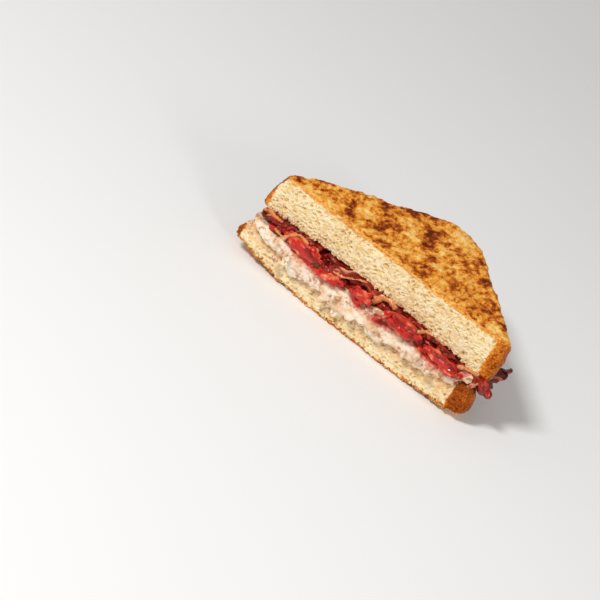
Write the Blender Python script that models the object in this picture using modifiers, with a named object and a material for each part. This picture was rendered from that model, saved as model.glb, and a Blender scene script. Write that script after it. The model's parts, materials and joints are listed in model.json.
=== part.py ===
"""Half of a thick toasted bread sandwich, cut from corner to corner and lying on its lower slice.

The cut face looks along -Y, the square corner of the bread points along +Y, and the origin is on the
flat of the underside, below the middle of the slice. The fillings run through the half as layers: soft
cheese, fruit jam and strips of fried bacon, with pieces of fruit at the rim. Lengths are in metres.
"""

import math
from typing import NamedTuple

import bmesh
import bpy
from mathutils import Vector, noise

MM = 0.001

# The bread: a rectangular slice with round corners, of which this is the slightly smaller half
LEG_LEFT = 121 * MM
LEG_RIGHT = 110 * MM
CORNER_R = 22 * MM
SQUARE_CORNER_R = 20 * MM
SHORT_OF_DIAGONAL = 3.5 * MM
TIP_R = 5 * MM

# The stack of layers, from the table up
GAP = 0.4 * MM
BOTTOM_T = 14.0 * MM
CHEESE_T = 6.9 * MM
JAM_T = 3.3 * MM
BACON_T = 1.7 * MM
RIPPLE = 1.65 * MM
BACON_CLEARANCE = 0.3 * MM
TOP_T = 14.7 * MM
TOP_SHIFT = Vector((1.8 * MM, 5.7 * MM))
TOP_SIZE = 0.985

# The lower slice is flat in the middle and curls up towards its tips, where the fillings are thinner
FLAT_HALF = 16 * MM
TIP_LIFT_LEFT = 7.8 * MM
TIP_LIFT_RIGHT = 4.8 * MM
TIP_THINNING = 0.9

# At the left tip the crust leans in towards the top, and the fillings stop short
END_FROM = 42 * MM
END_TO = 72 * MM
END_LEAN = 5 * MM
FILLING_SHORT = 7 * MM

# Towards the cut the upper slice presses the jam and the bacon's waves flatter
PRESSED_FROM = 20 * MM
PRESSED_TO = 7 * MM
JAM_PRESSED = 0.25
RIPPLE_PRESSED = 0.64

# Surface relief
CRUST_EDGE_R = 3.4 * MM
CUT_EDGE_R = 1.2 * MM
CRUST_BULGE = 0.7 * MM
SHARP_UNDERSIDE = 0.6
CRUMB_RELIEF = 0.45 * MM
CRUMB_SIZE = 5 * MM
TOAST_RELIEF = 0.9 * MM
CURD_RELIEF = 0.5 * MM
RELIEF_SIZE = 14 * MM

# How the outlines are sampled
ARC_STEPS = 10
STRAIGHT_STEP = 1.5 * MM
CORNER_SHARE = 0.55
CENTRE = Vector((2 * MM, 26 * MM))

LEFT_ANGLE = math.atan2(LEG_RIGHT, LEG_LEFT)
RIGHT_ANGLE = math.pi / 2 - LEFT_ANGLE
DIAGONAL = math.hypot(LEG_LEFT, LEG_RIGHT)
ALONG_LEFT_LEG = Vector((math.cos(LEFT_ANGLE), math.sin(LEFT_ANGLE)))
ALONG_RIGHT_LEG = Vector((math.cos(RIGHT_ANGLE), -math.sin(RIGHT_ANGLE)))
SQUARE_CORNER = Vector((-DIAGONAL / 2, -SHORT_OF_DIAGONAL)) + ALONG_LEFT_LEG * LEG_LEFT

# The round corners' centres; each tip is where a corner's arc has come down to the cut face's own edge
SQUARE_CENTRE = SQUARE_CORNER + (ALONG_RIGHT_LEG - ALONG_LEFT_LEG) * SQUARE_CORNER_R
TIP_CENTRE_X = DIAGONAL / 2 - CORNER_R * (math.cos(LEFT_ANGLE) + math.sin(LEFT_ANGLE))
LEFT_CENTRE = Vector((-TIP_CENTRE_X, -SHORT_OF_DIAGONAL))
RIGHT_CENTRE = Vector((TIP_CENTRE_X, -SHORT_OF_DIAGONAL))
TIP_TURN = math.asin((TIP_R + SHORT_OF_DIAGONAL) / CORNER_R)
TIP_X = TIP_CENTRE_X + CORNER_R * math.cos(TIP_TURN)


def smooth(value, low, high):
    """0 below low, 1 above high, and an even curve between."""
    share = min(1.0, max(0.0, (value - low) / (high - low)))
    return share * share * (3 - 2 * share)


def hump(value, middle, half_width):
    """1 at the middle, falling evenly to 0 at half_width on each side."""
    return 1 - smooth(abs(value - middle), 0, half_width)


def ripple_noise(x, y, z, size, seed):
    """Even noise from about -1 to 1, with features of the given size."""
    return noise.noise(Vector((x / size + seed * 17.3, y / size - seed * 5.1, z / size + seed)))


def joined_arcs(arcs):
    """A ring of points along arcs (centre, radius, start angle, end angle) and the straights between."""
    points = []
    for centre, radius, start, end in arcs:
        first = centre + Vector((math.cos(start), math.sin(start))) * radius
        if points:
            last = points.pop()
            steps = round((first - last).length / STRAIGHT_STEP)
            points += [last.lerp(first, step / steps) for step in range(steps)]
        for step in range(ARC_STEPS + 1):
            angle = start + (end - start) * step / ARC_STEPS
            points.append(centre + Vector((math.cos(angle), math.sin(angle))) * radius)
    return points[:-1]


class Rim:
    """The outline of the cut slice, read by a share from 0 to 1 that moves slower round the corners."""

    def __init__(self):
        left_leg_way = LEFT_ANGLE + math.pi / 2
        self.points = joined_arcs([
            (Vector((-TIP_X + TIP_R, TIP_R)), TIP_R, math.pi, 1.5 * math.pi),
            (Vector((TIP_X - TIP_R, TIP_R)), TIP_R, 1.5 * math.pi, math.tau),
            (RIGHT_CENTRE, CORNER_R, TIP_TURN, LEFT_ANGLE),
            (SQUARE_CENTRE, SQUARE_CORNER_R, LEFT_ANGLE, left_leg_way),
            (LEFT_CENTRE, CORNER_R, left_leg_way, math.pi - TIP_TURN),
        ])
        count = len(self.points)
        sides = [self.points[(i + 1) % count] - self.points[i] for i in range(count)]
        around = sum(side.length for side in sides)
        self.normals = []
        self.shares = [0.0]
        for index, side in enumerate(sides):
            tangent = (side.normalized() + sides[index - 1].normalized()).normalized()
            self.normals.append(Vector((tangent.y, -tangent.x)))
            turn = side.angle(sides[(index + 1) % count])
            self.shares.append(self.shares[-1] + side.length / around + CORNER_SHARE * turn / math.tau)
        self.shares = [share / self.shares[-1] for share in self.shares]

    def at(self, share):
        """(point, outward normal) at a share of the way round."""
        share %= 1.0
        index = max(i for i in range(len(self.points)) if self.shares[i] <= share)
        step = (share - self.shares[index]) / (self.shares[index + 1] - self.shares[index])
        following = (index + 1) % len(self.points)
        point = self.points[index].lerp(self.points[following], step)
        normal = self.normals[index].lerp(self.normals[following], step).normalized()
        return point, normal


RIM = Rim()


class Side(NamedTuple):
    """One straight side of the slice, anticlockwise: where it starts, its direction, and the way out."""

    start: Vector
    along: Vector
    outward: Vector


CUT_SIDE = Side(Vector((0, 0)), Vector((1, 0)), Vector((0, -1)))
LEFT_LEG = Side(SQUARE_CORNER, -ALONG_LEFT_LEG, -ALONG_RIGHT_LEG)
RIGHT_LEG = Side(SQUARE_CORNER + ALONG_RIGHT_LEG * LEG_RIGHT, -ALONG_RIGHT_LEG, ALONG_LEFT_LEG)


class Fruit(NamedTuple):
    """A piece of fruit at the rim, in metres; rise is 0 under the bacon and 1 up to the upper slice."""

    side: Side
    distance: float
    half_length: float
    half_depth: float
    out: float
    rise: float
    skew: float


FRUITS = (
    Fruit(CUT_SIDE, -35 * MM, 11.0 * MM, 3.4 * MM, 1.6 * MM, 0.9, 0.10),
    Fruit(CUT_SIDE, -16 * MM, 7.5 * MM, 4.0 * MM, 1.6 * MM, 0.0, -0.12),
    Fruit(CUT_SIDE, 1 * MM, 6.0 * MM, 3.6 * MM, 1.6 * MM, 0.7, 0.12),
    Fruit(CUT_SIDE, 25 * MM, 11.5 * MM, 4.2 * MM, 1.8 * MM, 1.3, -0.08),
    Fruit(CUT_SIDE, 50 * MM, 11.0 * MM, 3.6 * MM, 1.8 * MM, 0.8, 0.04),
    Fruit(RIGHT_LEG, 76 * MM, 5.5 * MM, 4.0 * MM, 1.8 * MM, 0.8, 0.15),
    Fruit(RIGHT_LEG, 49 * MM, 9.0 * MM, 4.5 * MM, 2.2 * MM, 0.75, -0.10),
    Fruit(LEFT_LEG, 34 * MM, 7.0 * MM, 3.6 * MM, 2.0 * MM, 0.0, 0.10),
    Fruit(LEFT_LEG, 72 * MM, 9.0 * MM, 3.8 * MM, 2.2 * MM, 0.0, -0.10),
)
FRUIT_CLEAR = 0.7 * MM
FRUIT_SHOULDER = (1.6 * MM, 6.0 * MM)
FRUIT_LUMPS = 0.16
FRUIT_SEGMENTS = 12
FRUIT_ROWS = 7
RISE_THAT_MEETS_BACON = 0.1


def fruit_recess(point, outward, least_rise):
    """How far a layer's edge draws in at this point of the rim to leave room for the fruit there."""
    recess = 0.0
    for fruit in FRUITS:
        if fruit.rise < least_rise or fruit.side.outward.dot(outward) < 0.9:
            continue
        along = abs((point - fruit.side.start).dot(fruit.side.along) - fruit.distance)
        room = fruit.half_depth - fruit.out + FRUIT_CLEAR
        room += abs(fruit.skew) * fruit.half_length
        near, far = FRUIT_SHOULDER
        recess = max(recess, room * (1 - smooth(along - fruit.half_length, near, far)))
    return recess


def cut_share(normal):
    """1 on the cut face, 0 on the crust, from the outline's normal."""
    return smooth(-normal.y, 0.9, 0.995)


def tip_share(x):
    """0 over the flat middle, 1 at the tips."""
    past = max(0.0, abs(x) - FLAT_HALF) / (TIP_X - FLAT_HALF)
    return min(1.0, past * past)


def tip_lift(x):
    """How far the lower slice has curled up at this x."""
    return (TIP_LIFT_LEFT if x < 0 else TIP_LIFT_RIGHT) * tip_share(x)


def left_end(x):
    """0 over most of the slice, 1 at its left tip."""
    return smooth(-x, END_FROM, END_TO)


def drawn_in(point, shift):
    """A point of the outline, moved in from the left tip by up to the shift."""
    return Vector((point.x + shift * left_end(point.x), point.y))


def thinned(thickness, x):
    """A filling's thickness at this x."""
    return thickness * (1 - TIP_THINNING * tip_share(x))


def cheese_mean(x):
    """The height of the cheese's upper surface without its curds."""
    return BOTTOM_T + GAP + tip_lift(x) + thinned(CHEESE_T, x)


def cheese_top(x, y):
    """The height of the cheese's upper surface."""
    return cheese_mean(x) + thinned(CURD_RELIEF, x) * ripple_noise(x, y, 0, RELIEF_SIZE, 3)


def pressed(y):
    """0 well inside, 1 near the cut, where the upper slice presses down."""
    return smooth(-y, -PRESSED_FROM, -PRESSED_TO)


def jam_top(x, y):
    """The height of the jam's upper surface."""
    return cheese_mean(x) + GAP + thinned(JAM_T, x) * (1 - JAM_PRESSED * pressed(y))


def ripple(x, y):
    """Half the height of the bacon's waves."""
    return thinned(RIPPLE, x) * (1 - RIPPLE_PRESSED * pressed(y))


def top_underside(x, y):
    """The height of the upper slice's lower surface."""
    return jam_top(x, y) + 2 * GAP + BACON_T + 2 * ripple(x, y) + BACON_CLEARANCE


def paint(obj, colour, roughness):
    """Gives the object one plain material."""
    material = bpy.data.materials.new(obj.name)
    material.use_nodes = True
    shader = material.node_tree.nodes["Principled BSDF"]
    shader.inputs["Base Color"].default_value = (*colour, 1)
    shader.inputs["Roughness"].default_value = roughness
    shader.inputs["Metallic"].default_value = 0.0
    obj.data.materials.append(material)


def add_object(name, mesh_maker, collection):
    """A smooth-shaded object whose mesh mesh_maker fills in, moved so that the origin is below the middle."""
    mesh = bpy.data.meshes.new(name)
    shape = bmesh.new()
    mesh_maker(shape)
    bmesh.ops.translate(shape, verts=shape.verts, vec=(-CENTRE.x, -CENTRE.y, 0))
    shape.to_mesh(mesh)
    shape.free()
    mesh.shade_smooth()
    obj = bpy.data.objects.new(name, mesh)
    collection.objects.link(obj)
    return obj


def moulded(name, segments, rows, place, collection):
    """A closed solid: a globe whose points go where place(share round, row from the bottom) puts them."""

    def globe(shape):
        bmesh.ops.create_uvsphere(shape, u_segments=segments, v_segments=rows, radius=1)
        for vert in shape.verts:
            around = math.atan2(vert.co.y, vert.co.x) / math.tau % 1.0
            down = math.acos(max(-1.0, min(1.0, -vert.co.z)))
            vert.co = place(around, round(down / math.pi * rows))

    return add_object(name, globe, collection)


def inside(point, share):
    """A point a share of the way from the slice's middle to its rim."""
    return CENTRE.lerp(point, share)


# A slice's profile from its lower middle to its upper middle: caps as shares of the rim's reach,
# the edge between them as (inset, rise) in edge radii, and the side as shares of its height
CAP_SHARES = (0.0, 0.19, 0.55, 0.85)
EDGE_STEPS = ((1.0, 0.0), (0.28, 0.28), (0.0, 1.0))
SIDE_STEPS = (0.35, 0.65)
SLICE_ROWS = 2 * (len(CAP_SHARES) + len(EDGE_STEPS)) + len(SIDE_STEPS) - 1
SLICE_SEGMENTS = 76


def slice_place(underside, upper, size, shift):
    """How a bread slice fills the space between two heights, each a function of (x, y)."""

    def edge_place(rim, normal, row, cut):
        edge = CRUST_EDGE_R + (CUT_EDGE_R - CRUST_EDGE_R) * cut
        under_edge = edge * (1 - SHARP_UNDERSIDE * tip_share(rim.x))
        from_top = row > SLICE_ROWS // 2
        step = SLICE_ROWS - row if from_top else row
        height, this_edge, rise_way = (upper, edge, -1) if from_top else (underside, under_edge, 1)
        if step < len(CAP_SHARES):
            flat = drawn_in(inside(rim - normal * this_edge, CAP_SHARES[step]), END_LEAN * from_top)
            return flat, height(flat.x, flat.y)
        if step < len(CAP_SHARES) + len(EDGE_STEPS):
            inset, rise = EDGE_STEPS[step - len(CAP_SHARES)]
            flat = drawn_in(rim - normal * inset * this_edge, END_LEAN * from_top)
            return flat, height(flat.x, flat.y) + rise_way * rise * this_edge
        side_share = SIDE_STEPS[row - len(CAP_SHARES) - len(EDGE_STEPS)]
        flat = drawn_in(rim + normal * CRUST_BULGE * (1 - cut), END_LEAN * side_share)
        low = underside(flat.x, flat.y) + under_edge
        high = upper(flat.x, flat.y) - edge
        return flat, low + (high - low) * side_share

    def place(around, row):
        outline, normal = RIM.at(around)
        rim = inside(outline, size) + shift
        cut = cut_share(normal)
        flat, z = edge_place(rim, normal, row, cut)
        on_side = len(CAP_SHARES) < row < SLICE_ROWS - len(CAP_SHARES)
        if on_side:
            flat = flat + normal * CRUMB_RELIEF * cut * ripple_noise(rim.x, rim.y, z, CRUMB_SIZE, 7)
        return Vector((flat.x, flat.y, z))

    return place


def table_side(x, _y):
    """The lower slice's underside."""
    return tip_lift(x)


def lower_top(x, _y):
    """The lower slice's upper surface."""
    return BOTTOM_T + tip_lift(x)


def toasted_top(x, y):
    """The upper slice's fried face."""
    return top_underside(0, CENTRE.y) + TOP_T + TOAST_RELIEF * ripple_noise(x, y, 0, RELIEF_SIZE, 11)


def add_bread(collection):
    """The two slices, the upper one a little smaller and slid back."""
    slices = {
        "bread_bottom": slice_place(table_side, lower_top, 1.0, Vector((0, 0))),
        "bread_top": slice_place(top_underside, toasted_top, TOP_SIZE, TOP_SHIFT),
    }
    for name, place in slices.items():
        paint(moulded(name, SLICE_SEGMENTS, SLICE_ROWS, place, collection), (0.78, 0.50, 0.20), 0.75)


class Run(NamedTuple):
    """A place where the cheese runs over the cut face, in metres."""

    x: float
    reach: float
    hang: float
    half_width: float


CUT_RUNS = (
    Run(-54 * MM, 4.2 * MM, 5.5 * MM, 15 * MM),
    Run(-34 * MM, 5.2 * MM, 7.0 * MM, 16 * MM),
    Run(-8 * MM, 4.6 * MM, 6.5 * MM, 18 * MM),
    Run(17 * MM, 4.4 * MM, 5.2 * MM, 17 * MM),
    Run(40 * MM, 4.8 * MM, 4.6 * MM, 16 * MM),
    Run(60 * MM, 4.0 * MM, 3.2 * MM, 11 * MM),
)
CHEESE_REACH = 3.4 * MM
CHEESE_HANG = 2.3 * MM
LIP_WAVE = 13 * MM
CHEESE_CLEAR = 1.3 * MM
CHEESE_SHORT_AT_TIP = 0.55
LEAST_LIP = 1.1 * MM
LEAST_HANG = 0.15 * MM
CHEESE_LUMPS = 0.5 * MM
CHEESE_CAPS = (0.0, 0.35, 0.7, 0.93)
CHEESE_ROWS = 13
CHEESE_SEGMENTS = 84


def cheese_lip(rim, normal):
    """(reach, hang) of the cheese past the bread's edge at a point of the rim."""
    wave = ripple_noise(rim.x, rim.y, 0, LIP_WAVE, 5)
    reach = CHEESE_REACH * (1 + 0.3 * wave)
    hang = CHEESE_HANG * max(0.6, 1 + 0.9 * wave)
    cut = cut_share(normal)
    for run in CUT_RUNS:
        share = cut * hump(rim.x, run.x, run.half_width)
        reach = max(reach, run.reach * share)
        hang = max(hang, run.hang * share)
    short = 1 - CHEESE_SHORT_AT_TIP * tip_share(rim.x)
    return reach * short, hang * short


def cheese_place(around, row):
    """The cheese from its lower middle, out under its lip, over it and back to its upper middle."""
    outline, normal = RIM.at(around)
    rim = drawn_in(outline, FILLING_SHORT)
    reach, hang = cheese_lip(rim, normal)
    hang = max(LEAST_HANG, hang * (1 - left_end(outline.x) * (1 - cut_share(normal))))
    floor = BOTTOM_T + tip_lift(rim.x) + GAP
    shoulder = cheese_top(rim.x, rim.y)
    lip = max(LEAST_LIP, reach - CHEESE_CLEAR)
    lumps = CHEESE_LUMPS * ripple_noise(rim.x, rim.y, row, 6 * MM, 13)
    edge_rows = {
        4: (CHEESE_CLEAR, floor),
        5: (CHEESE_CLEAR, floor - hang),
        6: (CHEESE_CLEAR + 0.45 * lip, floor - 1.06 * hang),
        7: (CHEESE_CLEAR + 0.95 * lip + lumps, floor - 0.55 * hang),
        8: (CHEESE_CLEAR + lip + lumps, floor + 0.35 * (shoulder - floor)),
        9: (CHEESE_CLEAR + 0.45 * lip, floor + 0.85 * (shoulder - floor)),
    }
    if row in edge_rows:
        out, z = edge_rows[row]
        flat = rim + normal * out
        return Vector((flat.x, flat.y, z))
    from_top = row > max(edge_rows)
    flat = inside(rim, CHEESE_CAPS[CHEESE_ROWS - row if from_top else row])
    z = cheese_top(flat.x, flat.y) if from_top else BOTTOM_T + tip_lift(flat.x) + GAP
    return Vector((flat.x, flat.y, z))


def add_cheese(collection):
    """The layer of soft cheese, which runs over the edges in lumps."""
    cheese = moulded("cheese", CHEESE_SEGMENTS, CHEESE_ROWS, cheese_place, collection)
    paint(cheese, (0.86, 0.76, 0.60), 0.55)


JAM_INSET = 1.2 * MM
JAM_WAVE = 1.3 * MM
JAM_WAVE_SIZE = 11 * MM
JAM_CAPS = (0.0, 0.35, 0.7, 0.92)
JAM_EDGE = 0.28
JAM_ROWS = 2 * len(JAM_CAPS) + 1
JAM_SEGMENTS = 100


def jam_place(around, row):
    """The jam between the cheese and the bacon, drawn in where a piece of fruit shows."""
    outline, normal = RIM.at(around)
    rim = drawn_in(outline, FILLING_SHORT)
    wave = JAM_WAVE * ripple_noise(rim.x, rim.y, 0, JAM_WAVE_SIZE, 23)
    inset = max(JAM_INSET - wave, fruit_recess(rim, normal, 0.0))
    edge = rim - normal * inset
    from_top = row > JAM_ROWS // 2
    step = JAM_ROWS - row if from_top else row
    at_edge = step == len(JAM_CAPS)
    flat = edge if at_edge else inside(edge, JAM_CAPS[step])
    low = cheese_top(flat.x, flat.y) + GAP
    high = jam_top(flat.x, flat.y)
    share = JAM_EDGE if at_edge else 0.0
    if from_top:
        share = 1 - share
    return Vector((flat.x, flat.y, low + (high - low) * share))


def add_jam(collection):
    """The jam layer that runs through the half."""
    paint(moulded("jam", JAM_SEGMENTS, JAM_ROWS, jam_place, collection), (0.45, 0.02, 0.02), 0.2)


class Strip(NamedTuple):
    """A strip of bacon laid along the left leg, in metres: where its middle meets the right leg, its
    width, how far its ends poke out of the crust and of the cut, the phase of its waves, how much
    shorter the end at the crust is on its side towards the tip, and how steeply that end curls up."""

    middle: float
    width: float
    past_crust: float
    past_cut: float
    phase: float
    slant: float
    curl: float = 0.0


STRIPS = (
    Strip(16.5 * MM, 24 * MM, 3.0 * MM, 2.0 * MM, 0.4, 0.3),
    Strip(43 * MM, 25 * MM, 6.5 * MM, 3.0 * MM, 2.1, 0.4),
    Strip(67.5 * MM, 22 * MM, 4.0 * MM, 3.0 * MM, 3.9, -0.2),
    Strip(88.5 * MM, 19 * MM, 19 * MM, 2.2 * MM, 5.2, 0.95, 0.5),
)
WAVE_LENGTH = 17 * MM
CURL_LENGTH = 27 * MM
SWAY = 1.3 * MM
SWAY_LENGTH = 34 * MM
RAGGED_SIZE = 7 * MM
RAGGED = 0.45
SHORT_OF_TIP = 8 * MM
END_DROOP = 0.09
CURL_FROM = 6.5 * MM
BACON_STEP = 3.2 * MM
BACON_ACROSS = 7


def bacon_mid(x, y, phase):
    """The height of a strip's middle surface."""
    place = Vector((x, y))
    wave = 0.7 * math.sin(math.tau * place.dot(ALONG_LEFT_LEG) / WAVE_LENGTH + phase)
    wave += 0.3 * math.sin(math.tau * place.dot(ALONG_RIGHT_LEG) / CURL_LENGTH + 1.7 * phase)
    return jam_top(x, y) + GAP + BACON_T / 2 + ripple(x, y) * (1 + wave)


def crust_end(strip, across):
    """Where a line of bacon, across from the strip's middle by a share of its width, ends at the crust."""
    on_leg = SQUARE_CORNER + ALONG_RIGHT_LEG * (strip.middle + across * strip.width)
    recess = fruit_recess(on_leg, ALONG_LEFT_LEG, RISE_THAT_MEETS_BACON)
    past = strip.past_crust * (1 - strip.slant * (0.5 + across))
    past *= 1 + RAGGED * ripple_noise(on_leg.x, on_leg.y, 0, RAGGED_SIZE, 31)
    return on_leg + ALONG_LEFT_LEG * (-recess if recess > 0 else past)


def cut_reach(end, past_cut):
    """The length of a line of bacon from its end at the crust to its ragged end at the cut."""
    x_on_cut = end.x - end.y * ALONG_LEFT_LEG.x / ALONG_LEFT_LEG.y
    on_cut = Vector((x_on_cut, 0))
    recess = fruit_recess(on_cut, CUT_SIDE.outward, RISE_THAT_MEETS_BACON)
    past = past_cut * (1 + RAGGED * ripple_noise(x_on_cut, 0, 0, RAGGED_SIZE, 37))
    to_cut = (end.y - recess if recess > 0 else end.y + past) / ALONG_LEFT_LEG.y
    return min(to_cut, (end.x + TIP_X - SHORT_OF_TIP) / ALONG_LEFT_LEG.x)


def add_bacon_strip(index, strip, collection):
    """One rippled strip, from past the crust on the right to just past the cut."""
    length = LEG_LEFT * (1 - strip.middle / LEG_RIGHT) + strip.width
    steps = max(3, round(length / BACON_STEP))

    def ribbon(shape):
        bmesh.ops.create_grid(shape, x_segments=steps, y_segments=BACON_ACROSS, size=0.5)
        for vert in shape.verts:
            share = vert.co.x + 0.5
            end = crust_end(strip, -vert.co.y)
            flat = end - ALONG_LEFT_LEG * cut_reach(end, strip.past_cut) * share
            sway = SWAY * math.sin(math.tau * flat.dot(ALONG_LEFT_LEG) / SWAY_LENGTH)
            flat = flat + ALONG_RIGHT_LEG * sway
            beyond_leg = (flat - SQUARE_CORNER).dot(ALONG_LEFT_LEG)
            drop = END_DROOP * (max(0.0, beyond_leg) + max(0.0, -flat.y))
            curled = strip.curl * max(0.0, beyond_leg - CURL_FROM)
            vert.co = Vector((flat.x, flat.y, bacon_mid(flat.x, flat.y, strip.phase) - drop + curled))

    strip_obj = add_object(f"bacon_{index}", ribbon, collection)
    wall = strip_obj.modifiers.new("thickness", "SOLIDIFY")
    wall.thickness = BACON_T
    wall.offset = 0
    paint(strip_obj, (0.32, 0.05, 0.03), 0.35)


def fruit_place(fruit, seed):
    """How a lump of fruit lies on the cheese, from its underside up."""
    middle = fruit.side.start + fruit.side.along * fruit.distance + fruit.side.outward * fruit.out

    def place(around, row):
        turn = around * math.tau
        up = -math.cos(math.pi * row / FRUIT_ROWS)
        wide = math.sin(math.pi * row / FRUIT_ROWS) ** 0.7
        lumps = 1 - FRUIT_LUMPS * (0.5 + ripple_noise(math.cos(turn), math.sin(turn), up, 1.1, seed))
        along = math.cos(turn) * wide * lumps * fruit.half_length
        outward = fruit.skew * along - math.sin(turn) * wide * lumps * fruit.half_depth
        flat = middle + fruit.side.along * along + fruit.side.outward * outward
        low = cheese_top(flat.x, flat.y) + GAP
        under_bacon = jam_top(flat.x, flat.y)
        high = under_bacon + fruit.rise * (top_underside(flat.x, flat.y) - GAP - under_bacon)
        return Vector((flat.x, flat.y, low + (high - low) * (0.5 + 0.5 * up)))

    return place


def add_fruit(collection):
    """The pieces of soft red fruit that show at the rim."""
    for index, fruit in enumerate(FRUITS, start=1):
        piece = moulded(f"fruit_{index}", FRUIT_SEGMENTS, FRUIT_ROWS, fruit_place(fruit, index), collection)
        paint(piece, (0.55, 0.02, 0.02), 0.15)


def build():
    """Clears the scene and makes the half sandwich."""
    for obj in list(bpy.data.objects):
        bpy.data.objects.remove(obj)
    sandwich = bpy.data.collections.new("half_sandwich")
    bpy.context.scene.collection.children.link(sandwich)
    add_bread(sandwich)
    add_cheese(sandwich)
    add_jam(sandwich)
    for index, strip in enumerate(STRIPS, start=1):
        add_bacon_strip(index, strip, sandwich)
    add_fruit(sandwich)


build()
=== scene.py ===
"""The finished look of half a toasted bacon, jam and soft cheese sandwich, made over its solids.

Every piece is made from the solid that it stands for, in metres. Places on the sandwich are given
from the middle of the cut: x along the cut face, y back from it and z up from the table.
"""

import json
import logging
import math
from dataclasses import dataclass
from enum import Enum
from typing import Iterable, NamedTuple, Sequence

import bmesh
import bpy
import numpy as np
from mathutils import Matrix, Vector
from mathutils.bvhtree import BVHTree

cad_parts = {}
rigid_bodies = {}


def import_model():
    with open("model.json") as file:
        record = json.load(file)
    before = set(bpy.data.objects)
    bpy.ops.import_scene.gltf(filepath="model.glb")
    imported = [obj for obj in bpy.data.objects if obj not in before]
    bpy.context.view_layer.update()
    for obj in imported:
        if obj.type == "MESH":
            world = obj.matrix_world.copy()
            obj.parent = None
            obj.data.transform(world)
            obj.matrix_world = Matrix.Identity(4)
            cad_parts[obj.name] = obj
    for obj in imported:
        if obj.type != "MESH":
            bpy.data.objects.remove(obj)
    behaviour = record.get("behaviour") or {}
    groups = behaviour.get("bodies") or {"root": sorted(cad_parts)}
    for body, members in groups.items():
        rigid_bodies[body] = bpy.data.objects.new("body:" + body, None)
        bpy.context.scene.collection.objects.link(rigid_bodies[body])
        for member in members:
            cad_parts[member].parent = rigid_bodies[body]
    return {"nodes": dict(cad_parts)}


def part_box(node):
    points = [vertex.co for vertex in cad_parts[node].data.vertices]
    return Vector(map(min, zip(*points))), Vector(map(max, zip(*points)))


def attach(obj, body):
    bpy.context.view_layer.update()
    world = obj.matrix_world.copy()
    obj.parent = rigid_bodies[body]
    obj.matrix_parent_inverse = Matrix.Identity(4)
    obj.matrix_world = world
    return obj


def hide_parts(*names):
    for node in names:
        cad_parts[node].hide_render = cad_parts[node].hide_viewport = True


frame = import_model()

log = logging.getLogger("sandwich")

MM = 0.001
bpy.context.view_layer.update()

# The middle of the cut face, seen from the origin under the slice's middle
CUT_MIDDLE_X = -2.0 * MM
CUT_Y = -26.0 * MM

# The bread's sizes that the fillings follow
LEG_LEFT = 121.0
LEG_RIGHT = 110.0
LEFT_ANGLE = math.atan2(LEG_RIGHT, LEG_LEFT)
ALONG_LEFT_LEG = np.array([math.cos(LEFT_ANGLE), math.sin(LEFT_ANGLE)])
ALONG_RIGHT_LEG = np.array([math.sin(LEFT_ANGLE), -math.cos(LEFT_ANGLE)])
FLAT_HALF = 16.0 * MM
TIP_X = 70.97 * MM
TIP_LIFT_LEFT = 7.8 * MM
TIP_LIFT_RIGHT = 4.8 * MM

# Where the camera stands: things that lie over the front are placed along its lines of sight
EYE = np.array([0.27509, -0.96374, 0.56902])

Colour = tuple[float, float, float]


def srgb(red: int, green: int, blue: int) -> Colour:
    """A colour given as it looks on a screen, 0 to 255, as scene-linear values."""

    def linear(part: int) -> float:
        """One channel of it."""
        share = part / 255
        return share / 12.92 if share <= 0.04045 else ((share + 0.055) / 1.055) ** 2.4

    return linear(red), linear(green), linear(blue)


def eased(values: np.ndarray, low: float, high: float) -> np.ndarray:
    """0 at low, 1 at high, and an even curve between, for each value.

    Args:
        values: The values to ease.
        low: Where the result is 0. It may be the larger one.
        high: Where the result is 1.

    Returns:
        The eased values.
    """
    share = np.clip((values - low) / (high - low), 0.0, 1.0)
    return share * share * (3 - 2 * share)


def waves(points: np.ndarray, size: float, seed: int, count: int = 7) -> np.ndarray:
    """Smooth uneven waves from about -1 to 1 over points.

    Args:
        points: Places in metres, one per row.
        size: The waves' mean length in metres.
        seed: Which waves.
        count: How many are added up.

    Returns:
        One value for each point.
    """
    draw = np.random.default_rng(seed)
    total = np.zeros(len(points))
    for _ in range(count):
        way = draw.normal(size=points.shape[1])
        way *= draw.uniform(0.6, 1.6) / np.linalg.norm(way)
        total += np.sin(points @ way * math.tau / size + draw.uniform(0, math.tau))
    return total / math.sqrt(count)


def from_cut(points: np.ndarray) -> np.ndarray:
    """World points as places from the middle of the cut."""
    return points - np.array([CUT_MIDDLE_X, CUT_Y, 0.0])


def seen_at(points: np.ndarray) -> np.ndarray:
    """Where the camera sees world points against the cut's plane, as (x, z) in metres."""
    ways = points - EYE
    met = EYE + ways * ((CUT_Y - EYE[1]) / ways[:, 1:2])
    return met[:, [0, 2]] - np.array([CUT_MIDDLE_X, 0.0])


def tip_lift(x: np.ndarray) -> np.ndarray:
    """How far the lower slice curls up at each x from the middle of the cut."""
    past = np.clip((np.abs(x) - FLAT_HALF) / (TIP_X - FLAT_HALF), 0, 1)
    return np.where(x < 0, TIP_LIFT_LEFT, TIP_LIFT_RIGHT) * past * past


# Meshes


def points_of(mesh: bpy.types.Mesh) -> np.ndarray:
    """The mesh's vertices, one per row."""
    flat = np.empty(len(mesh.vertices) * 3)
    mesh.vertices.foreach_get("co", flat)
    return flat.reshape(-1, 3)


def normals_of(mesh: bpy.types.Mesh) -> np.ndarray:
    """The directions that the mesh's vertices face, one per row."""
    flat = np.empty(len(mesh.vertices) * 3)
    mesh.vertex_normals.foreach_get("vector", flat)
    return flat.reshape(-1, 3)


def move_points(mesh: bpy.types.Mesh, points: np.ndarray) -> None:
    """Puts the mesh's vertices at new places."""
    mesh.vertices.foreach_set("co", points.ravel())
    mesh.update()


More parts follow.
